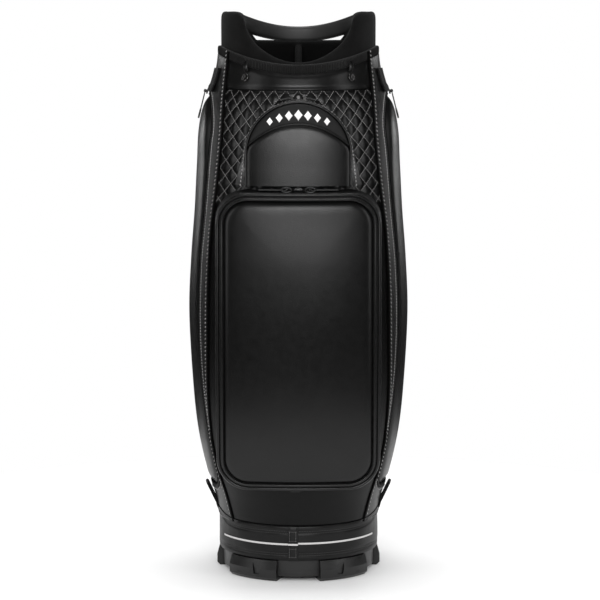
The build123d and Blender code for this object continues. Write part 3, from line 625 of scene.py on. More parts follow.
def front_panel(name, z_low, z_high, rows, cols, material, relief=None, windows=None, edge_roll=0.0018):
    """A skin across the front between the two big seams. z_low and z_high can depend on x."""
    u = np.linspace(-1, 1, cols)
    v = np.linspace(0, 1, rows)
    mid_z = 0.5 * (np.mean(z_low(0.0)) + np.mean(z_high(0.0)))
    theta = u[None, :] * seam_theta(np.full((rows, 1), mid_z))
    z = np.zeros((rows, cols))
    for _ in range(4):
        x = barrel(z if z.any() else np.full_like(z, mid_z)) * np.sin(theta)
        z = z_low(x) + (z_high(x) - z_low(x)) * v[:, None]
        theta = u[None, :] * seam_theta(z)
    distance = np.minimum(
        (1 - np.abs(u))[None, :] * barrel(z) * seam_theta(z),
        np.minimum(v[:, None] * (z_high(x) - z_low(x)), (1 - v[:, None]) * (z_high(x) - z_low(x))),
    )
    off = -edge_roll * bell(distance, 0.0035)
    if relief is not None:
        off = off + relief(theta, z) * (1 - bell(distance, 0.004))
    outer = on_wall(theta, z, off)
    inner = on_wall(theta, z, np.full_like(off, -SKIN))
    keep = None
    if windows is not None:
        keep = ~windows(cell_middles(outer[..., 0]), cell_middles(outer[..., 2]))
    return shell(name, outer, inner, material, keep=keep)


def quilt_run(theta):
    """Distance across the quilting, between the arc length and the width seen from the front."""
    return 0.074 * (theta + np.sin(theta))


def quilt_relief(theta, z):
    """Puffed diamonds between the lines of quilting."""
    across, down = quilt_run(theta) / QUILT_W, (z - TOP_SEAM_Z) / QUILT_H
    waves = np.abs(np.sin(math.pi * (across + down))) * np.abs(np.sin(math.pi * (across - down)))
    return QUILT_PUFF * waves**0.8 - 0.0006


def make_top_panel():
    """Plain panel between the collar band and the quilting."""
    flat = lambda x: TOP_SEAM_Z + 0.0004 + 0 * x
    high = lambda x: band_line(x, BAND_LOW) + 0.002
    piece = front_panel("top_front_leather", flat, high, 16, 130, LEATHER)
    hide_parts("top_front_panel")


def make_quilted_panel():
    """Puffed panel, open behind the two pockets, with the threads of its diamonds."""
    low = lambda x: 0.5902 + 0 * x
    high = lambda x: TOP_SEAM_Z - 0.0004 + 0 * x
    windows = lambda x, z: inside_rect_path(x, z, 0.008) | inside_arch_path(x, z, 0.013, 0.640)
    piece = front_panel("quilted_leather", low, high, 150, 230, QUILT_LEATHER, quilt_relief, windows)
    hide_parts("quilted_panel")
    pile = Pile()
    turns = np.linspace(-1.2, 1.2, 200)
    z = np.linspace(0.5925, TOP_SEAM_Z - 0.0025, 260)
    for k in range(-20, 21):
        for sign in (1, -1):
            run = (k - sign * (z - TOP_SEAM_Z) / QUILT_H) * QUILT_W
            theta = np.interp(run, quilt_run(turns), turns, left=-9, right=9)
            inside = np.abs(theta) < seam_theta(z) - 0.018
            x = barrel(z) * np.sin(theta)
            inside &= ~inside_arch_path(x, z, -0.002, 0.60) & ~inside_rect_path(x, z, -0.002)
            for part in np.split(np.arange(len(z)), np.flatnonzero(np.diff(inside.astype(int))) + 1):
                if len(part) > 6 and inside[part[0]]:
                    at = on_wall(theta[part], z[part], -0.0004)
                    pile.stitch(at, wall_normals(theta[part], z[part]), 0.0032, QUILT_THREAD)
    piece = pile.build("quilting_thread", PALE_THREAD)


def make_lower_panel():
    """Plain panel round the front pocket, down to the belt."""
    low = lambda x: SKIN_FOOT_Z + 0 * x
    high = lambda x: 0.5898 + 0 * x
    windows = lambda x, z: inside_rect_path(x, z, 0.008)
    piece = front_panel("lower_front_leather", low, high, 190, 130, LOWER_LEATHER, None, windows)
    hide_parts("lower_front_panel")


def make_seams():
    """The two big seams: a raised piping cord with a row of heavy slanted stitches outside it."""
    pile = Pile()
    z = np.linspace(0.0860, 0.826, 260)
    for side, name in SIDES:
        theta = side * seam_theta(z)
        normals = wall_normals(theta, z)
        inner = theta - side * 0.0024 / barrel(z)
        tube(f"seam_piping_{name}", on_wall(inner, z, 0.0004), normals, round_profile(0.0019, 8), DULL_PIPING)
        outer = theta + side * 0.0042 / barrel(z)
        keep = z > 0.096
        pile.stitch(on_wall(outer, z, 0.0005)[keep], normals[keep], 0.0064, SADDLE if side > 0 else SADDLE_BACK)
    piece = pile.build("seam_saddle_stitches", THREAD)


def make_side_skin(side, name):
    """Side skin from the big seam to the spine, with the window of its pocket and the fine stitches round it."""
    rows, cols = 260, 110
    v = np.linspace(0, 1, rows)[:, None]
    u = np.linspace(0, 1, cols)[None, :]
    z = np.full((rows, cols), 0.45)
    for _ in range(4):
        start = seam_theta(z)
        theta = start + (REAR_THETA - start) * u
        x = barrel(z) * np.sin(theta)
        high = band_line(x, BAND_LOW) + 0.002
        z = SKIN_FOOT_Z + (high - SKIN_FOOT_Z) * v
    distance = (theta - seam_theta(z)) * barrel(z)
    off = -0.0007 * bell(distance, 0.0022)
    y = -barrel(z) * np.cos(theta)
    off = off - 0.0022 * inside_side(y, z, SIDE_GAP)
    outer = on_wall(side * theta, z, off)
    inner = on_wall(side * theta, z, np.full_like(off, -SKIN - 0.001))
    keep = ~inside_side(cell_middles(outer[..., 1]), cell_middles(z), 0.001)
    if side < 0:
        outer, inner, keep = outer[:, ::-1], inner[:, ::-1], keep[:, ::-1]
    piece = shell(f"{name}_side_leather", outer, inner, STRIP_LEATHER, keep=keep)
    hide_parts(f"{name}_side_skin")
    pile = Pile()
    at, normals, theta = side_surface(side, resample(side_path(0.0100), 0.004), 0.0004)
    keep = theta < REAR_THETA
    pile.stitch(at[keep], normals[keep], 0.0046, MEDIUM)
    piece = pile.build(f"{name}_pocket_stitches", THREAD)


def side_surface(side, path, off):
    """Points, normals and angles on the barrel's side for a path of (y, z)."""
    r = barrel(path[:, 1])
    theta = side * np.arccos(np.clip(-path[:, 0] / r, -1, 1))
    return on_wall(theta, path[:, 1], off), wall_normals(theta, path[:, 1]), np.abs(theta)


def make_side_pocket(side, name):
    """Side pocket: a puffed door with a bound edge, and its zip round the edge."""
    body = f"{name}_door"
    rows, cols = 240, 100
    v = np.linspace(0, 1, rows)[:, None]
    u = np.linspace(0, 1, cols)[None, :]
    z = SIDE_LOW_Z + (SIDE_HIGH_Z - SIDE_LOW_Z) * (v + 0 * u)
    top, foot = SIDE_TOP_CORNER, SIDE_FOOT_CORNER
    up = np.clip((z - (SIDE_HIGH_Z - top)) / top, 0, 1)
    down = np.clip(((SIDE_LOW_Z + foot) - z) / foot, 0, 1)
    y_front = SIDE_FRONT_Y + top * (1 - np.sqrt(1 - up**2)) + foot * (1 - np.sqrt(1 - down**2))
    y_rear = barrel(z) * math.sin(REAR_THETA - math.pi / 2)
    y = y_front + (y_rear - y_front) * (1 - np.cos(u * math.pi / 2)) ** 0.8
    theta = np.arccos(np.clip(-y / barrel(z), -1, 1))
    distance = np.minimum(y - y_front, np.minimum(z - SIDE_LOW_Z, SIDE_HIGH_Z - z))
    puff = -0.0035 * bell(distance, 0.007)
    ripple = 0.0009 * np.sin(z * 31 + 2.0 * u) * np.sin(theta * 9 + 1.3)
    filled = 0.0036 * bell(z - 0.712, 0.050)
    off = puff + ripple * (1 - bell(distance, 0.03)) + filled * (1 - bell(distance, 0.012))
    outer = on_wall(side * theta, z, off)
    inner = on_wall(side * theta, z, np.full_like(off, -0.0046))
    if side < 0:
        outer, inner = outer[:, ::-1], inner[:, ::-1]
    piece = shell(f"{name}_pocket_leather", outer, inner, SIDE_LEATHER, body)
    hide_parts(f"{name}_pocket_door")
    path = resample(side_path(0.0008), 0.004)
    at, normals, theta = side_surface(side, path, -0.0016)
    keep = theta < REAR_THETA
    piping = tube(f"{name}_pocket_piping", at[keep], normals[keep], round_profile(0.0014, 8), DULL_PIPING, body)
    at, normals, theta = side_surface(side, resample(side_path(0.0042), 0.003), -0.0012)
    keep = theta < REAR_THETA - 0.02
    make_zip(f"{name}_side", at[keep], normals[keep], f"{name}_pocket_zip")


def make_zip(name, at, normals, replaced, width=0.0062):
    """A coil zip: a woven tape with two rows of interlocked teeth on it."""
    tape = tube(f"{name}_zip_tape", at, normals, box_profile(width, 0.0008), ZIP_TAPE)
    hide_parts(replaced)
    pile = Pile()
    both = resample(np.concatenate([at, normals], axis=1), 0.0016)
    along = unit(np.gradient(both[:, :3], axis=0))
    normal = unit(both[:, 3:])
    across = np.cross(normal, along)
    swing = np.where(np.arange(len(both)) % 2 == 0, 0.0007, -0.0007)[:, None]
    tooth, faces = grain(0.0024, 0.00058, 0.0002, twist=math.pi / 2)
    pile.copies(tooth, faces, both[:, :3] + normal * 0.0007 + across * swing, along, normal)
    teeth = pile.build(f"{name}_zip_teeth", ZIP_TEETH)


def make_spine():
    """Flat leather panel down the back with two rows of stitches."""
    rows, cols = 120, 60
    theta = np.linspace(REAR_THETA + 0.004, 2 * math.pi - REAR_THETA - 0.004, cols)[None, :]
    x = SPINE_R * np.sin(theta)
    top = band_line(x, BAND_LOW) + 0.002
    z = SKIN_FOOT_Z + (top - SKIN_FOOT_Z) * np.linspace(0, 1, rows)[:, None]
    edge = np.minimum(theta - theta.min(), theta.max() - theta) * SPINE_R
    outer = polar(SPINE_R - 0.0014 * bell(edge, 0.004), theta, z)
    inner = polar(SPINE_R - 0.003, theta, z)
    piece = shell("spine_leather", outer, inner, LEATHER)
    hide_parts("spine_panel")
    pile = Pile()
    heights = np.linspace(0.093, 0.80, 200)
    for sign in (-1, 1):
        a = math.pi + sign * (math.pi - REAR_THETA - 0.05)
        direction = np.array([math.sin(a), -math.cos(a), 0.0])
        at = direction * SPINE_R + heights[:, None] * [0, 0, 1]
        at[:, 2] = np.minimum(heights, band_line(at[:, 0], BAND_LOW) - 0.003)
        pile.stitch(at[heights < 0.795], np.tile(direction, (len(heights), 1))[heights < 0.795], 0.005, FINE)
    pile.build("spine_stitches", THREAD)
    z = np.linspace(0.0865, 0.80, 200)
    for side, name in SIDES:
        theta = side * np.full_like(z, REAR_THETA)
        at, normals = wall_line(theta, z, -0.0022)
        piece = tube(f"spine_piping_{name}", at, normals, round_profile(0.0018, 8), PIPING)


# ---------------------------------------------------------------- front pocket
def make_front_door():
    """The door: a crowned leather pad inside a frame of two cords, on its board."""
    insets = np.concatenate([[0, 0.0006, 0.0015, 0.003, 0.005, 0.008, 0.012], np.linspace(0.017, 0.1, 20)])
    insets = insets * ((DOOR_W / 2 - PAD_INSET) / 0.1)
    insets[-1] = DOOR_W / 2 - PAD_INSET - 1e-4
    rings = np.stack([door_path(PAD_INSET + d) for d in insets])
    crown = 0.0300 + 0.0058 * (1 - np.exp(-insets / 0.0035)) + 0.0014 * (1 - np.exp(-insets / 0.045))
    crown[0] -= 0.001
    x, z = rings[..., 0], rings[..., 1]
    ripple = 0.0006 * np.sin(x * 26 + 0.7) * np.sin(z * 17 + 0.4)
    off = crown[:, None] + ripple * (1 - np.exp(-insets / 0.03))[:, None]
    outer = on_front(x, z, off, POCKET_AXIS_Y)
    rows, cols = outer.shape[:2]
    back = on_front(rings[0, :, 0], rings[0, :, 1], 0.0296, POCKET_AXIS_Y)
    verts = np.concatenate([outer.reshape(-1, 3), back])
    faces = quads(rows, cols, wrap=True)[:, ::-1]
    k = np.arange(cols)
    n = (k + 1) % cols
    skirt = points_of(k, n, rows * cols + n, rows * cols + k)
    piece = build("front_door_leather", verts, np.concatenate([faces, skirt]).tolist(), DOOR_LEATHER, "front_door")
    close_holes(piece)
    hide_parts("front_door_pad")

    cords = Pile()
    for inset, radius, off in ((0.0062, 0.0021, 0.0332), (-0.0002, 0.0030, 0.0300)):
        line = front_line(door_path(inset), off, POCKET_AXIS_Y)
        cords.add(*sweep(*line, round_profile(radius, 12), closed=True))
    piece = cords.build("front_door_cords", PIPING, "front_door")
    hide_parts("front_door_piping")
    pile = Pile()
    path = door_path(0.0030)
    path = np.concatenate([path, path[:1]])
    pile.stitch(*front_line(path, 0.0322, POCKET_AXIS_Y), 0.0042, FINE)
    pile.build("front_door_stitches", BLACK_THREAD, "front_door")


def close_holes(obj):
    """Fills what is left open at the middle and the back of a ringed mesh."""
    mesh = bmesh.new()
    mesh.from_mesh(obj.data)
    bmesh.ops.remove_doubles(mesh, verts=mesh.verts, dist=0.0004)
    bmesh.ops.holes_fill(mesh, edges=mesh.edges, sides=0)
    bmesh.ops.recalc_face_normals(mesh, faces=mesh.faces)
    mesh.to_mesh(obj.data)
    mesh.free()
    obj.data.shade_smooth()
    obj.data.set_sharp_from_angle(angle=math.radians(50))


def gusset_rings(path_of, front_off, axis_y, steps, back_grow=0.0, sag=0.0):
    """Rings of a pocket's gusset, from its front edge back to the barrel, widening on the way."""
    front_path = path_of(0.0)
    front = on_front(front_path[:, 0], front_path[:, 1], front_off, axis_y)
    rings = []
    for t in np.linspace(0, 1, steps):
        grow = 0.0
        for _ in range(6):
            path = path_of(-grow)
            x, z = path[:, 0], path[:, 1]
            back_y = -np.sqrt(np.maximum(barrel(z) ** 2 - x**2, 1e-6)) + 0.001
            y = front[:, 1] + (back_y - front[:, 1]) * t
            grow = float(np.mean(y - front[:, 1])) * TAPER + back_grow * t - sag * math.sin(math.pi * t)
        rings.append(points_of(x, y, z))
    return np.stack(rings)


def make_front_gusset():
    """Soft wall round the front pocket, its zip, and the dark flaps that hide the zip's ends."""
    rings = gusset_rings(door_path, 0.0240, POCKET_AXIS_Y, 10, 0.001, 0.0012)
    inner = gusset_rings(lambda inset: door_path(inset + 0.0035), 0.0240, POCKET_AXIS_Y, 10, 0.001, 0.0012)
    # Painted shade: the gusset takes the darkest leather so that it reads as the shadow behind the door.
    piece = shell("front_gusset_leather", rings[:, ::-1], inner[:, ::-1], MATTE_AND_SHADE_LEATHER, wrap=True)
    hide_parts("front_pocket_gusset")
    path = door_path(-0.0024)
    at = on_front(path[:, 0], path[:, 1], 0.0195, POCKET_AXIS_Y)
    outward = path - np.array([0, DOOR_MID_Z])
    flat = np.clip(np.abs(outward) - np.array([DOOR_W / 2 - DOOR_CORNER, DOOR_H / 2 - DOOR_CORNER]), 0, None)
    outward = unit(np.sign(outward) * flat)
    normals = points_of(outward[:, 0], 0 * outward[:, 0] - 0.25, outward[:, 1])
    open_run = (path[:, 1] > DOOR_LOW.z + 0.006) | (np.abs(path[:, 0]) > 0.06)
    order = np.roll(np.arange(len(path)), -int(np.argmin(np.abs(path[:, 0]) + (path[:, 1] - DOOR_LOW.z))))
    order = order[open_run[order]]
    make_zip("front", at[order], unit(normals)[order], "front_pocket_zip", width=0.007)
    pile = Pile()
    ring = door_path(-0.0016)
    at = on_front(ring[:, 0], ring[:, 1], 0.0255, POCKET_AXIS_Y)
    top_first = np.roll(np.arange(len(ring)), -int(np.argmin(ring[:, 1])))
    top_first = top_first[ring[top_first, 1] > DOOR_MID_Z]
    pile.stitch(at[top_first], unit(normals)[top_first], 0.0037, grain(0.0019, 0.00065, 0.0002))
    pile.build("front_zip_stitches", EDGE_THREAD)
    x = np.linspace(-0.012, 0.003, 8)
    at = on_front(x, np.full_like(x, DOOR_LOW.z - 0.0035), 0.0262, POCKET_AXIS_Y)
    tab = tube("front_foot_tab", at, [0, -1.0, 0], box_profile(0.0055, 0.0020), LEATHER)
    for side, name in SIDES:
        x = side * np.linspace(0.019, 0.060, 14)
        z = np.full_like(x, DOOR_HIGH.z + 0.0068)
        at = on_front(x, z, 0.0145, POCKET_AXIS_Y)
        lip = tube(f"front_zip_hood_{name}", at, [0, 0, 1.0], box_profile(0.010, 0.0024, 0.0008), PIPING)


# ---------------------------------------------------------------- upper pocket
def make_upper_pocket():
    """Arched pocket: its gusset with a row of stitches, its face and its zip."""
    rings = gusset_rings(arch_path, 0.0098, ARCH_AXIS_Y, 8)
    spread_down = np.clip((0.690 - rings[..., 2]) / 0.07, 0, 1) ** 1.3
    depth = np.linspace(0, 1, rings.shape[0])[:, None]
    rings[..., 0] += np.sign(rings[..., 0]) * 0.016 * spread_down * depth
    inner = rings.copy()
    inner[..., 0] *= 0.955
    inner[..., 2] = ARCH_MID_Z + (rings[..., 2] - ARCH_MID_Z) * np.where(rings[..., 2] > ARCH_MID_Z, 0.955, 1.0)
    piece = shell("upper_gusset_leather", rings[:, ::-1], inner[:, ::-1], GUSSET_LEATHER)
    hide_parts("upper_pocket_gusset")
    pile = Pile()
    row = rings[3]
    normals = points_of(row[:, 0], np.full(len(row), -0.035), np.clip(row[:, 2] - ARCH_MID_Z, 0, None))
    pile.stitch(row + unit(normals) * 0.0004, unit(normals), 0.0058, grain(0.0036, 0.0008, 0.0005))
    pile.build("upper_gusset_stitches", THREAD)

    make_upper_face()
    path = resample(arch_path(0.0006, foot=FLAP_Z + 0.004), 0.003)
    at = on_front(path[:, 0], path[:, 1], 0.0062, ARCH_AXIS_Y)
    outward = unit(points_of(path[:, 0], 0 * path[:, 0], np.clip(path[:, 1] - ARCH_MID_Z, 0, None)))
    at = at + outward * 0.0014
    make_zip("upper", at, outward, "upper_pocket_zip", width=0.006)


def make_upper_face():
    """Face of the upper pocket, the crescent sewn over it with its cord, and the cords round the edge."""
    rows = cols = 90
    r = ARCH_R - 0.002
    top = ARCH_MID_Z + ARCH_R - 0.0025
    z = ARCH_FOOT_Z + (top - ARCH_FOOT_Z) * np.linspace(0, 1, rows)[:, None]
    half = np.where(z > ARCH_MID_Z, np.sqrt(np.clip(r**2 - (z - ARCH_MID_Z) ** 2, 1e-8, None)), r)
    x = np.sin(np.linspace(-1, 1, cols) * math.pi / 2)[None, :] * half
    edge = np.maximum(np.where(z > ARCH_MID_Z, r - np.hypot(x, z - ARCH_MID_Z), r - np.abs(x)), 0)
    below = np.clip(crescent_edge(x) - z, 0, 1)
    off = 0.0146 + 0.0022 * (1 - np.exp(-edge / 0.004)) - 0.0016 * bell(below, 0.005)
    outer, inner = on_front(x, z, off, ARCH_AXIS_Y), on_front(x, z, 0.0114, ARCH_AXIS_Y)
    piece = shell("upper_face_leather", outer, inner, LEATHER, None)
    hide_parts("upper_pocket_face", "upper_pocket_foot")
    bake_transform(piece)

    rows, cols = 40, 110
    u = np.sin(np.linspace(-1, 1, cols) * math.pi / 2)[None, :]
    r = ARCH_R - 0.0030
    x = u * (r - 0.0004) + 0 * np.zeros((rows, 1))
    arc = ARCH_MID_Z + np.sqrt(np.clip(r**2 - x**2, 0, None))
    low = np.minimum(crescent_edge(x), arc - 0.0004)
    v = np.linspace(0, 1, rows)[:, None]
    z = low + (arc - low) * v
    distance = np.minimum(z - low, arc - z)
    off = 0.0168 + 0.0016 * (1 - np.exp(-np.maximum(distance, 0) / 0.0025))
    outer = on_front(x, z, off, ARCH_AXIS_Y)
    inner = on_front(x, z, np.full_like(off, 0.0150), ARCH_AXIS_Y)
    piece = shell("crescent_leather", outer, inner, MATTE_AND_SHADE_LEATHER, "upper_flap")
    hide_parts("upper_pocket_crescent")
    xs = np.linspace(-ARCH_R + 0.004, ARCH_R - 0.004, 120)
    path = points_of(xs, crescent_edge(xs))
    at, normals = front_line(path, 0.0180, ARCH_AXIS_Y)
    cord = tube("crescent_cord", at, normals, round_profile(0.0011, 8), LEATHER, "upper_flap")
    path = arch_path(0.0006, foot=FLAP_Z + 0.001)
    at, normals = front_line(path, 0.0152, ARCH_AXIS_Y)
    cord = tube("upper_face_cord", at, normals, round_profile(0.0022, 10), PIPING, "upper_flap")
    foot_z = np.linspace(ARCH_FOOT_Z, FLAP_Z - 0.0006, 8)
    for side, name in SIDES:
        path = points_of(side * (ARCH_R - 0.0006), foot_z)
        at, normals = front_line(path, 0.0152, ARCH_AXIS_Y)
        cord = tube(f"upper_foot_cord_{name}", at, normals, round_profile(0.0022, 10), PIPING)
    make_motif()


def make_motif():
    """A plain embroidered row of diamonds in the crescent."""
    pile = Pile()
    for k in range(-3, 4):
        size = 0.0062 - 0.0006 * abs(k)
        cx, cz = k * 0.0145, 0.7325 - 0.0011 * k * k
        steps = 17
        for i in range(steps):
            t = (i - (steps - 1) / 2) / ((steps - 1) / 2)
            half = size * (1 - abs(t)) + 0.0004
            x = np.array([cx + t * size * 0.95] * 2)
            z = np.array([cz - half * 1.25, cz + half * 1.25])
            ends = on_front(x, z, 0.0188, ARCH_AXIS_Y)
            middle = ends.mean(axis=0, keepdims=True)
            length = float(np.linalg.norm(ends[1] - ends[0]))
            thread, faces = grain(length, 0.00048, 0.0005, rings=7)
            normal = front_normals(np.array([[cx, cz]]), ARCH_AXIS_Y)
            pile.copies(thread, faces, middle, ends[1:] - ends[:1], normal)
    piece = pile.build("crescent_motif", EMBROIDERY, "upper_flap")


# ---------------------------------------------------------------- collar
def soften(obj, voxel, rounds):
    """Rounds a remeshed copy, so that its edges look sewn and filled."""
    remesh = obj.modifiers.new("voxels", "REMESH")
    remesh.mode = "VOXEL"
    remesh.voxel_size = voxel
    smooth = obj.modifiers.new("rounding", "SMOOTH")
    smooth.factor = 0.5
    smooth.iterations = rounds
    apply_modifiers(obj)


def apply_modifiers(obj):
    """Turns an object's modifiers into its mesh."""
    graph = bpy.context.evaluated_depsgraph_get()
    mesh = bpy.data.meshes.new_from_object(obj.evaluated_get(graph))
    obj.modifiers.clear()
    obj.data = mesh


def inflate(obj, pressure, cap, frames=16):
    """Blows a closed soft piece up a little with cloth, and limits how far any point moves."""
    rest = np.empty(len(obj.data.vertices) * 3)
    obj.data.vertices.foreach_get("co", rest)
    rest = rest.reshape(-1, 3)
    cloth_modifier = obj.modifiers.new("filling", "CLOTH")
    settings = cloth_modifier.settings
    settings.use_pressure = True
    settings.uniform_pressure_force = pressure
    settings.effector_weights.gravity = 0
    settings.tension_stiffness = 12
    settings.quality = 4
    scene = bpy.context.scene
    for step in range(1, frames + 1):
        scene.frame_set(step)
    graph = bpy.context.evaluated_depsgraph_get()
    moved = np.empty(len(rest) * 3)
    obj.evaluated_get(graph).data.vertices.foreach_get("co", moved)
    shift = moved.reshape(-1, 3) - rest
    length = np.linalg.norm(shift, axis=1, keepdims=True)
    shift *= np.minimum(1, cap / np.maximum(length, 1e-9))
    obj.modifiers.clear()
    scene.frame_set(1)
    obj.data.vertices.foreach_set("co", (rest + shift).ravel())
    obj.data.update()


def soft_copy(node, name, material, body, voxel, rounds, pressure=0.0, cap=0.002):
    """A padded piece made from a node's solid: remeshed, rounded and filled."""
    obj = bpy.data.objects.new(name, NODES[node].data.copy())
    bpy.context.scene.collection.objects.link(obj)
    soften(obj, voxel, rounds)
    if pressure:
        inflate(obj, pressure, cap)
    obj.data.materials.clear()
    obj.data.materials.append(material)
    obj.data.shade_smooth()
    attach(obj, body)
    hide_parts(node)
    return obj


def make_collar():
    """The collar's padded cover, the bars over the dividers, and what is fixed to them."""
    soft_copy("collar_cover", "collar_padding", COLLAR_FABRIC, "shell", 0.0025, 70,
              pressure=4.0, cap=0.0035)
    soft_copy("divider_grid", "divider_padding", DIVIDER_FABRIC, "shell", 0.0022, 6,
              pressure=2.0, cap=0.001)
    make_grip()
    make_band()
    make_snaps()


def make_grip():
    """Moulded grip of the lift handle: a rounded bar on the collar's rear curve, its ends inside the collar."""
    x = np.linspace(-0.102, 0.102, 90)
    r = 0.1131
    at = points_of(x, np.sqrt(r * r - x * x), 0.8495 + HANDLE_RISE * (x / 0.1) ** 2)
    normals = unit(at * [1, 1, 0])
    a = full_turn(36)
    across = 0.0125 * np.sign(np.cos(a)) * np.abs(np.cos(a)) ** 0.45
    out = 0.0076 * np.sign(np.sin(a)) * np.abs(np.sin(a)) ** 0.7
    grip = tube("lift_handle_cover", at, normals, points_of(across, out), HANDLE_RUBBER)
    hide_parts("lift_handle_grip")


def make_snaps():
    """Rolled rims on the press studs, and the folded loops over the front two."""
    pile = Pile()
    a = full_turn(28)
    for theta in (-37.5, 37.5, 146.0, -146.0):
        t = math.radians(theta)
        z = 0.787
        r = SPINE_R if abs(theta) > 90 else barrel(z)
        normal = wall_normals(t, z) if abs(theta) < 90 else polar(1.0, t, 0.0)
        centre = polar(r, t, z) + normal * 0.0016
        side = unit(np.cross(normal, [0, 0, 1.0]))
        up = np.cross(side, normal)
        for major, minor, lift in ((0.0052, 0.0012, 0.0), (0.0026, 0.0008, 0.0030)):
            ring = centre + normal * lift + major * (np.cos(a)[:, None] * side + np.sin(a)[:, None] * up)
            pile.add(*sweep(ring, np.tile(normal, (len(a), 1)), round_profile(minor, 10), closed=True))
    pile.build("stud_rims", NICKEL)
    for side, name in SIDES:
        z = np.linspace(0.7965, 0.8115, 12)
        theta = side * (0.0845 / barrel(z))
        lift = 0.0022 + 0.0022 * np.sin(np.linspace(0, math.pi, 12))
        at, normals = wall_line(theta, z, lift)
        loop = tube(f"hood_loop_{name}", at, normals, box_profile(0.0075, 0.0026, 0.0004), PIPING)


def make_band():
    """Ribbed elastic band that binds the foot of the collar."""
    ribs = 290
    cols = ribs * 4
    rows = 12
    theta = full_turn(cols)[None, :]
    t = np.linspace(-1, 1, rows)[:, None]
    radius = 0.1234 + 0.0031 * np.sqrt(np.clip(1 - np.abs(t) ** 3, 0, 1))
    fade = np.sqrt(np.clip(1 - t**4, 0, 1))
    radius = radius + 0.0007 * np.cos(theta * ribs) * fade
    x = radius * np.sin(theta)
    middle = band_line(x, (BAND_LOW + BAND_HIGH) / 2)
    height = (BAND_HIGH - BAND_LOW) / 2 + 0.0008
    z = middle + height * t
    outer, inner = polar(radius, theta, z), polar(0.1216, theta, z)
    piece = shell("collar_ribbed_band", outer, inner, KNIT, wrap=True)
    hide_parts("collar_band")


# ---------------------------------------------------------------- belt and base
def make_belt():
    """Belt with a soft section, two double rows of stitches, the stripe and the overlap tab."""
    low, high = BELT_LOW, BELT_HIGH
    first, second = BELT_ROWS
    rows, cols = 34, 360
    theta = np.linspace(-math.pi, math.pi, cols, endpoint=False)[None, :]
    t = np.linspace(0, 1, rows)[:, None]
    ear = belt_ear(theta)
    z = low + (high + ear - low) * t
    d = np.minimum(z - low, high + ear - z)
    groove = 0.0009 * (bell(d - first, 0.0014) + bell(d - second, 0.0014))
    waves = 0.0006 * np.sin(theta * 9 + 1) * np.sin(t * 5)
    r = 0.1262 + 0.0009 * (1 - np.exp(-d / 0.003)) - 0.0012 * np.exp(-d / 0.0012) - groove + waves
    r = np.where(z > high - 0.001, np.maximum(r, barrel(z) + 0.0012), r)
    outer, inner = polar(r, theta, z), polar(np.maximum(0.1232, r - 0.0030), theta, z)
    piece = shell("belt_leather", outer, inner, BELT_LEATHER, wrap=True)
    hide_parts("base_belt")

    def ring_points(level, r, start=-math.pi, end=math.pi, count=400):
        a = np.linspace(start, end, count)
        n = polar(1.0, a, 0.0)
        rise = belt_ear(a) if level > 0.07 else 0 * a
        out = np.maximum(r, np.where(level + rise > high - 0.001, barrel(level + rise) + 0.0012, 0))
        return polar(out, a, level + rise), n

    pile = Pile()
    for level in (low + first, low + second, high - first, high - second):
        pile.stitch(*ring_points(level, 0.1266), 0.0040, FINE)
    pile.build("belt_stitches", BELT_THREAD)

    reach = math.radians(67)
    for name, start, end, level in (("left", -reach, -0.118, 0.0598), ("right", -0.012, reach, 0.0612)):
        at, n = ring_points(level, 0.1276, start, end, 80)
        strip = tube(f"stripe_{name}", at, n, box_profile(0.0030, 0.0010), STRIPE)
        if name == "left":
            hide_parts("belt_stripe")

    rows, cols = 30, 26
    x = np.linspace(-0.0165, -0.0005, cols)[None, :]
    z = np.linspace(low + 0.0004, high - 0.0010, rows)[:, None]
    edge = np.minimum(np.minimum(x + 0.0165, -0.0005 - x) + 0 * z, np.minimum(z - z.min(), z.max() - z) + 0 * x)
    window = 0.0008 * bell(edge - 0.0026, 0.0009)
    r = 0.1284 + 0.0012 * (1 - np.exp(-edge / 0.0012)) - window
    outer = points_of(x + 0 * z, -np.sqrt(r**2 - x**2), z + 0 * x)
    inner = points_of(x + 0 * z, -np.sqrt(0.1266**2 - x**2) + 0 * z, z + 0 * x)
    tab = shell("belt_tab_leather", outer, inner, BELT_LEATHER)
    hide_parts("belt_overlap_tab")
    pile = Pile()
    for z0, z1 in ((0.0395, 0.0530), (0.0655, 0.0800)):
        corner = [(-0.0140, z0), (-0.0140, z1), (-0.0040, z1), (-0.0040, z0), (-0.0140, z0)]
        for (xa, za), (xb, zb) in zip(corner, corner[1:]):
            xs, zs = np.linspace(xa, xb, 20), np.linspace(za, zb, 20)
            at = points_of(xs, -np.sqrt(0.1300**2 - xs**2), zs)
            pile.stitch(at, np.tile([0, -1.0, 0], (20, 1)), 0.0026, QUILT_THREAD)
    pile.build("belt_tab_stitches", TAB_THREAD)
    strip_x = np.linspace(-0.0163, -0.0008, 14)
    at = points_of(strip_x, -np.sqrt(0.1303**2 - strip_x**2), np.full_like(strip_x, 0.0600))
    strip = tube("stripe_tab", at, [0, -1.0, 0], box_profile(0.0030, 0.0010), STRIPE)


def paint(names, material):
    """Gives CAD nodes that stay as they are their material."""
    for name in names:
        mesh = NODES[name].data
        mesh.materials.clear()
        mesh.materials.append(material)


def paint_cad():
    """Materials of the CAD nodes that stay in view."""
    paint(["base_tray"], BASE_PLASTIC)
    paint(["tube", "collar_frame", "front_door_board"], BOARD_PLASTIC)
    paint(["base_foam_pad", "divider_centre", "divider_cross_front", "divider_cross_rear"], LINING)
    paint(["base_rivets", "cuff_rivets", "upper_pocket_eyelet"], RIVET)
    paint(["stay_rods"], STEEL)
    paint(["strap_anchors"], BASE_PLASTIC)
    paint(["rain_hood_studs", *[n for n in NODES if "slider" in n]], NICKEL)
    paint([n for n in NODES if "_pull" in n], PULL_RUBBER)


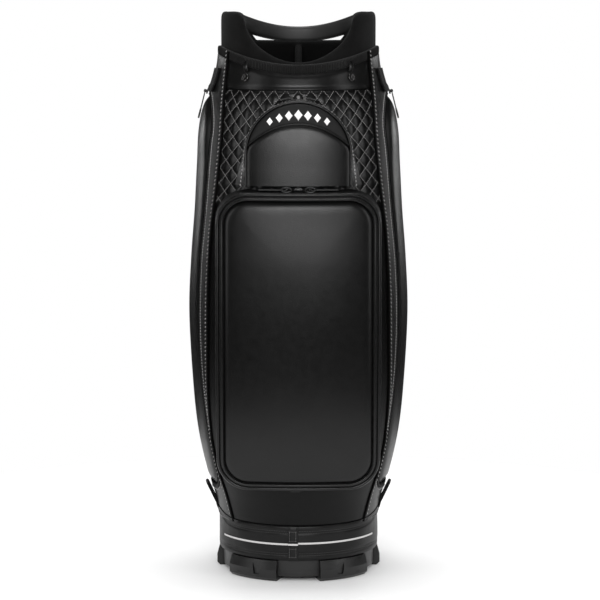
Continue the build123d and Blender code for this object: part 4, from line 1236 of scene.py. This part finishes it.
# ---------------------------------------------------------------- pulls, handles, tabs and strap
def make_pulls():
    """Loop pulls of the front pocket's zip. Each is an oval of cord on its slider's pin, and leans forward."""
    a = full_turn(40)
    for side, name in SIDES:
        low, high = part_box(f"front_pull_{name}")
        pin_x = low.x + 0.0017 if side > 0 else high.x - 0.0017
        centre = np.array([pin_x + side * 0.0055, (low.y + high.y) / 2 - 0.0018, (low.z + high.z) / 2])
        lean = math.radians(52)
        up = np.array([0, math.cos(lean), math.sin(lean)])
        oval = centre + 0.0075 * np.cos(a)[:, None] * np.array([1.0, 0, 0]) + 0.0042 * np.sin(a)[:, None] * up
        normal = np.cross([1.0, 0, 0], up)
        loop = tube(f"front_loop_{name}", oval, normal, round_profile(0.00135, 10), PULL_RUBBER,
                    f"front_pull_{name}", closed=True)
        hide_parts(f"front_pull_{name}")


def make_low_handles():
    """Webbing grab handles low on the sides. Each is a folded tongue that stands out and up from the belt."""
    line = np.array([(0.1288, 0.0985), (0.1305, 0.1060), (0.1342, 0.1130), (0.1460, 0.1380)])
    line = resample(line, 0.001)
    along = unit(np.gradient(line, axis=0))
    out = along[:, ::-1] * [1, -1]
    half = 0.00140
    turn = np.linspace(0, math.pi, 9)[1:-1, None]
    fold = np.cos(turn) * out[-1] + np.sin(turn) * along[-1]
    route = np.concatenate([line + out * half, line[-1] + fold * half, (line - out * half)[::-1]])
    facing = np.concatenate([out, fold, -out[::-1]])
    for side, name in SIDES:
        theta = side * math.radians(84)
        to_wall = np.array([[math.sin(theta), -math.cos(theta), 0], [0, 0, 1]])
        strap = tube(f"grab_handle_{name}", route @ to_wall, facing @ to_wall, box_profile(0.025, 0.0026), WEBBING)
        if side < 0:
            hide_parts("low_handles")


def make_side_tabs():
    """Folded webbing tabs high on the sides, each with a turned-up hem and a stitched outline."""
    pile = Pile()
    for side, name in SIDES:
        theta = side * math.radians(74)
        z = np.linspace(0.7995, 0.7635, 26)
        hem = 0.0016 / (1 + np.exp((z - 0.7735) / 0.0008))
        normals = wall_normals(theta, z)
        at = on_wall(theta, z, 0.0022 + hem)
        tab = tube(f"side_tab_{name}", at, normals, box_profile(0.0262, 0.0030), WEBBING)
        if side < 0:
            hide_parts("side_tabs")
        for reach in (-0.0108, 0.0108):
            edge = theta + reach / barrel(z[2:-2])
            pile.stitch(on_wall(edge, z[2:-2], 0.0038 + hem[2:-2]), wall_normals(edge, z[2:-2]), 0.0036, FINE)
        for level in (0.7665, 0.7755):
            across = theta + np.linspace(-0.0105, 0.0105, 12) / barrel(level)
            height = np.full_like(across, level)
            rise = 0.0038 + 0.0016 / (1 + np.exp((level - 0.7735) / 0.0008))
            pile.stitch(*wall_line(across, height, rise), 0.0036, FINE)
    pile.build("side_tab_stitches", BLACK_THREAD)


def make_strap():
    """Padded shoulder sleeve, its webbing in a bow behind the spine, and the moulded eyes on the anchors' pins."""
    soft_copy("strap_pad", "strap_padding", MESH_FABRIC, "strap", 0.0025, 12,
              pressure=3.0, cap=0.002)
    axis_y, mid_z, half, bow = STRAP_AXIS_Y, STRAP_MID_Z, STRAP_HALF_Z, STRAP_BOW
    radius = (half**2 + bow**2) / (2 * bow)
    z = np.linspace(-half + 0.009, half - 0.009, 120)
    y = np.sqrt(radius**2 - z**2)
    at = points_of(0 * z, axis_y + bow - radius + y, mid_z + z)
    band = tube("strap_band", at, points_of(0 * z, y, z), box_profile(0.025, 0.0030), WEBBING, "strap")
    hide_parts("strap_webbing")
    pile = Pile()
    turn = full_turn(40)
    outward = points_of(np.cos(turn), np.sin(turn), 0 * turn)
    for side in (-1, 1):
        centre = np.array([0, axis_y, mid_z + side * (half - 0.006)])
        pile.add(*sweep(centre + outward * 0.0050, outward, box_profile(0.0155, 0.0028), closed=True))
    pile.build("strap_eyes", BOARD_PLASTIC, "strap")


# ---------------------------------------------------------------- stage
def make_stage():
    """Floor, white studio with soft lights, and camera."""
    floor_mesh = bpy.data.meshes.new("floor")
    turn = full_turn(96)
    rim = points_of(FLOOR_R * np.cos(turn), FLOOR_R * np.sin(turn), 0 * turn)
    floor_mesh.from_pydata(rim.tolist(), [], [list(range(96))])
    floor = bpy.data.objects.new("floor", floor_mesh)
    bpy.context.scene.collection.objects.link(floor)
    material = bpy.data.materials.new("pale_floor")
    material.use_nodes = True
    shader = material.node_tree.nodes["Principled BSDF"]
    shader.inputs["Base Color"].default_value = (0.82, 0.82, 0.82, 1)
    shader.inputs["Roughness"].default_value = 0.9
    floor_mesh.materials.append(material)

    world = bpy.data.worlds.new("studio")
    bpy.context.scene.world = world
    world.use_nodes = True
    nodes, links = world.node_tree.nodes, world.node_tree.links
    background = nodes["Background"]
    background.inputs["Color"].default_value = (1, 1, 1, 1)
    path = nodes.new("ShaderNodeLightPath")
    dim = add(nodes, "ShaderNodeMapRange")
    dim.inputs["To Min"].default_value = STUDIO_FILL
    dim.inputs["To Max"].default_value = 1.0
    links.new(path.outputs["Is Camera Ray"], dim.inputs["Value"])
    shine = add(nodes, "ShaderNodeMapRange")
    shine.inputs["To Min"].default_value = 0.0
    shine.inputs["To Max"].default_value = STUDIO_FILL - STUDIO_DARK
    links.new(path.outputs["Is Glossy Ray"], shine.inputs["Value"])
    less = combine(nodes, links, "SUBTRACT", dim.outputs["Result"], shine.outputs["Result"])
    links.new(less, background.inputs["Strength"])

    def softbox(name, place, aim, width, height, power):
        light = bpy.data.lights.new(name, "AREA")
        light.shape = "RECTANGLE"
        light.size, light.size_y = width, height
        light.energy = power
        obj = bpy.data.objects.new(name, light)
        bpy.context.scene.collection.objects.link(obj)
        obj.location = place
        obj.rotation_euler = (Vector(aim) - Vector(place)).to_track_quat("-Z", "Y").to_euler()

    softbox("left_box", (-2.6, -1.4, 1.2), (0, 0, 0.45), 0.7, 2.0, 14)
    softbox("right_box", (2.6, -1.4, 1.2), (0, 0, 0.45), 0.7, 2.0, 14)
    softbox("left_rim", (-2.4, 2.1, 0.75), (0, 0, 0.7), 1.5, 0.35, 9)
    softbox("right_rim", (2.4, 2.1, 0.75), (0, 0, 0.7), 1.5, 0.35, 9)
    softbox("front_box", (0, -4.6, 1.95), (0, 0, 0.7), 3.2, 1.3, 135)
    softbox("top_box", (0, 0.2, 3.0), (0, 0, 0), 1.6, 1.6, 44)

    camera = bpy.data.cameras.new("camera")
    camera.lens = CAMERA_LENS
    camera.sensor_width = 36
    camera.dof.use_dof = False
    view = bpy.data.objects.new("camera", camera)
    view.location = CAMERA_PLACE
    view.rotation_euler = (math.pi / 2 - CAMERA_DIP, 0, 0)
    bpy.context.scene.collection.objects.link(view)
    bpy.context.scene.camera = view
    bpy.context.scene.view_settings.view_transform = "Standard"


def main():
    paint_cad()
    make_top_panel()
    make_quilted_panel()
    make_lower_panel()
    make_seams()
    for side, name in SIDES:
        make_side_skin(side, name)
        make_side_pocket(side, name)
    make_spine()
    make_front_door()
    make_front_gusset()
    make_upper_pocket()
    make_collar()
    make_belt()
    make_pulls()
    make_low_handles()
    make_side_tabs()
    make_strap()
    make_stage()


main()
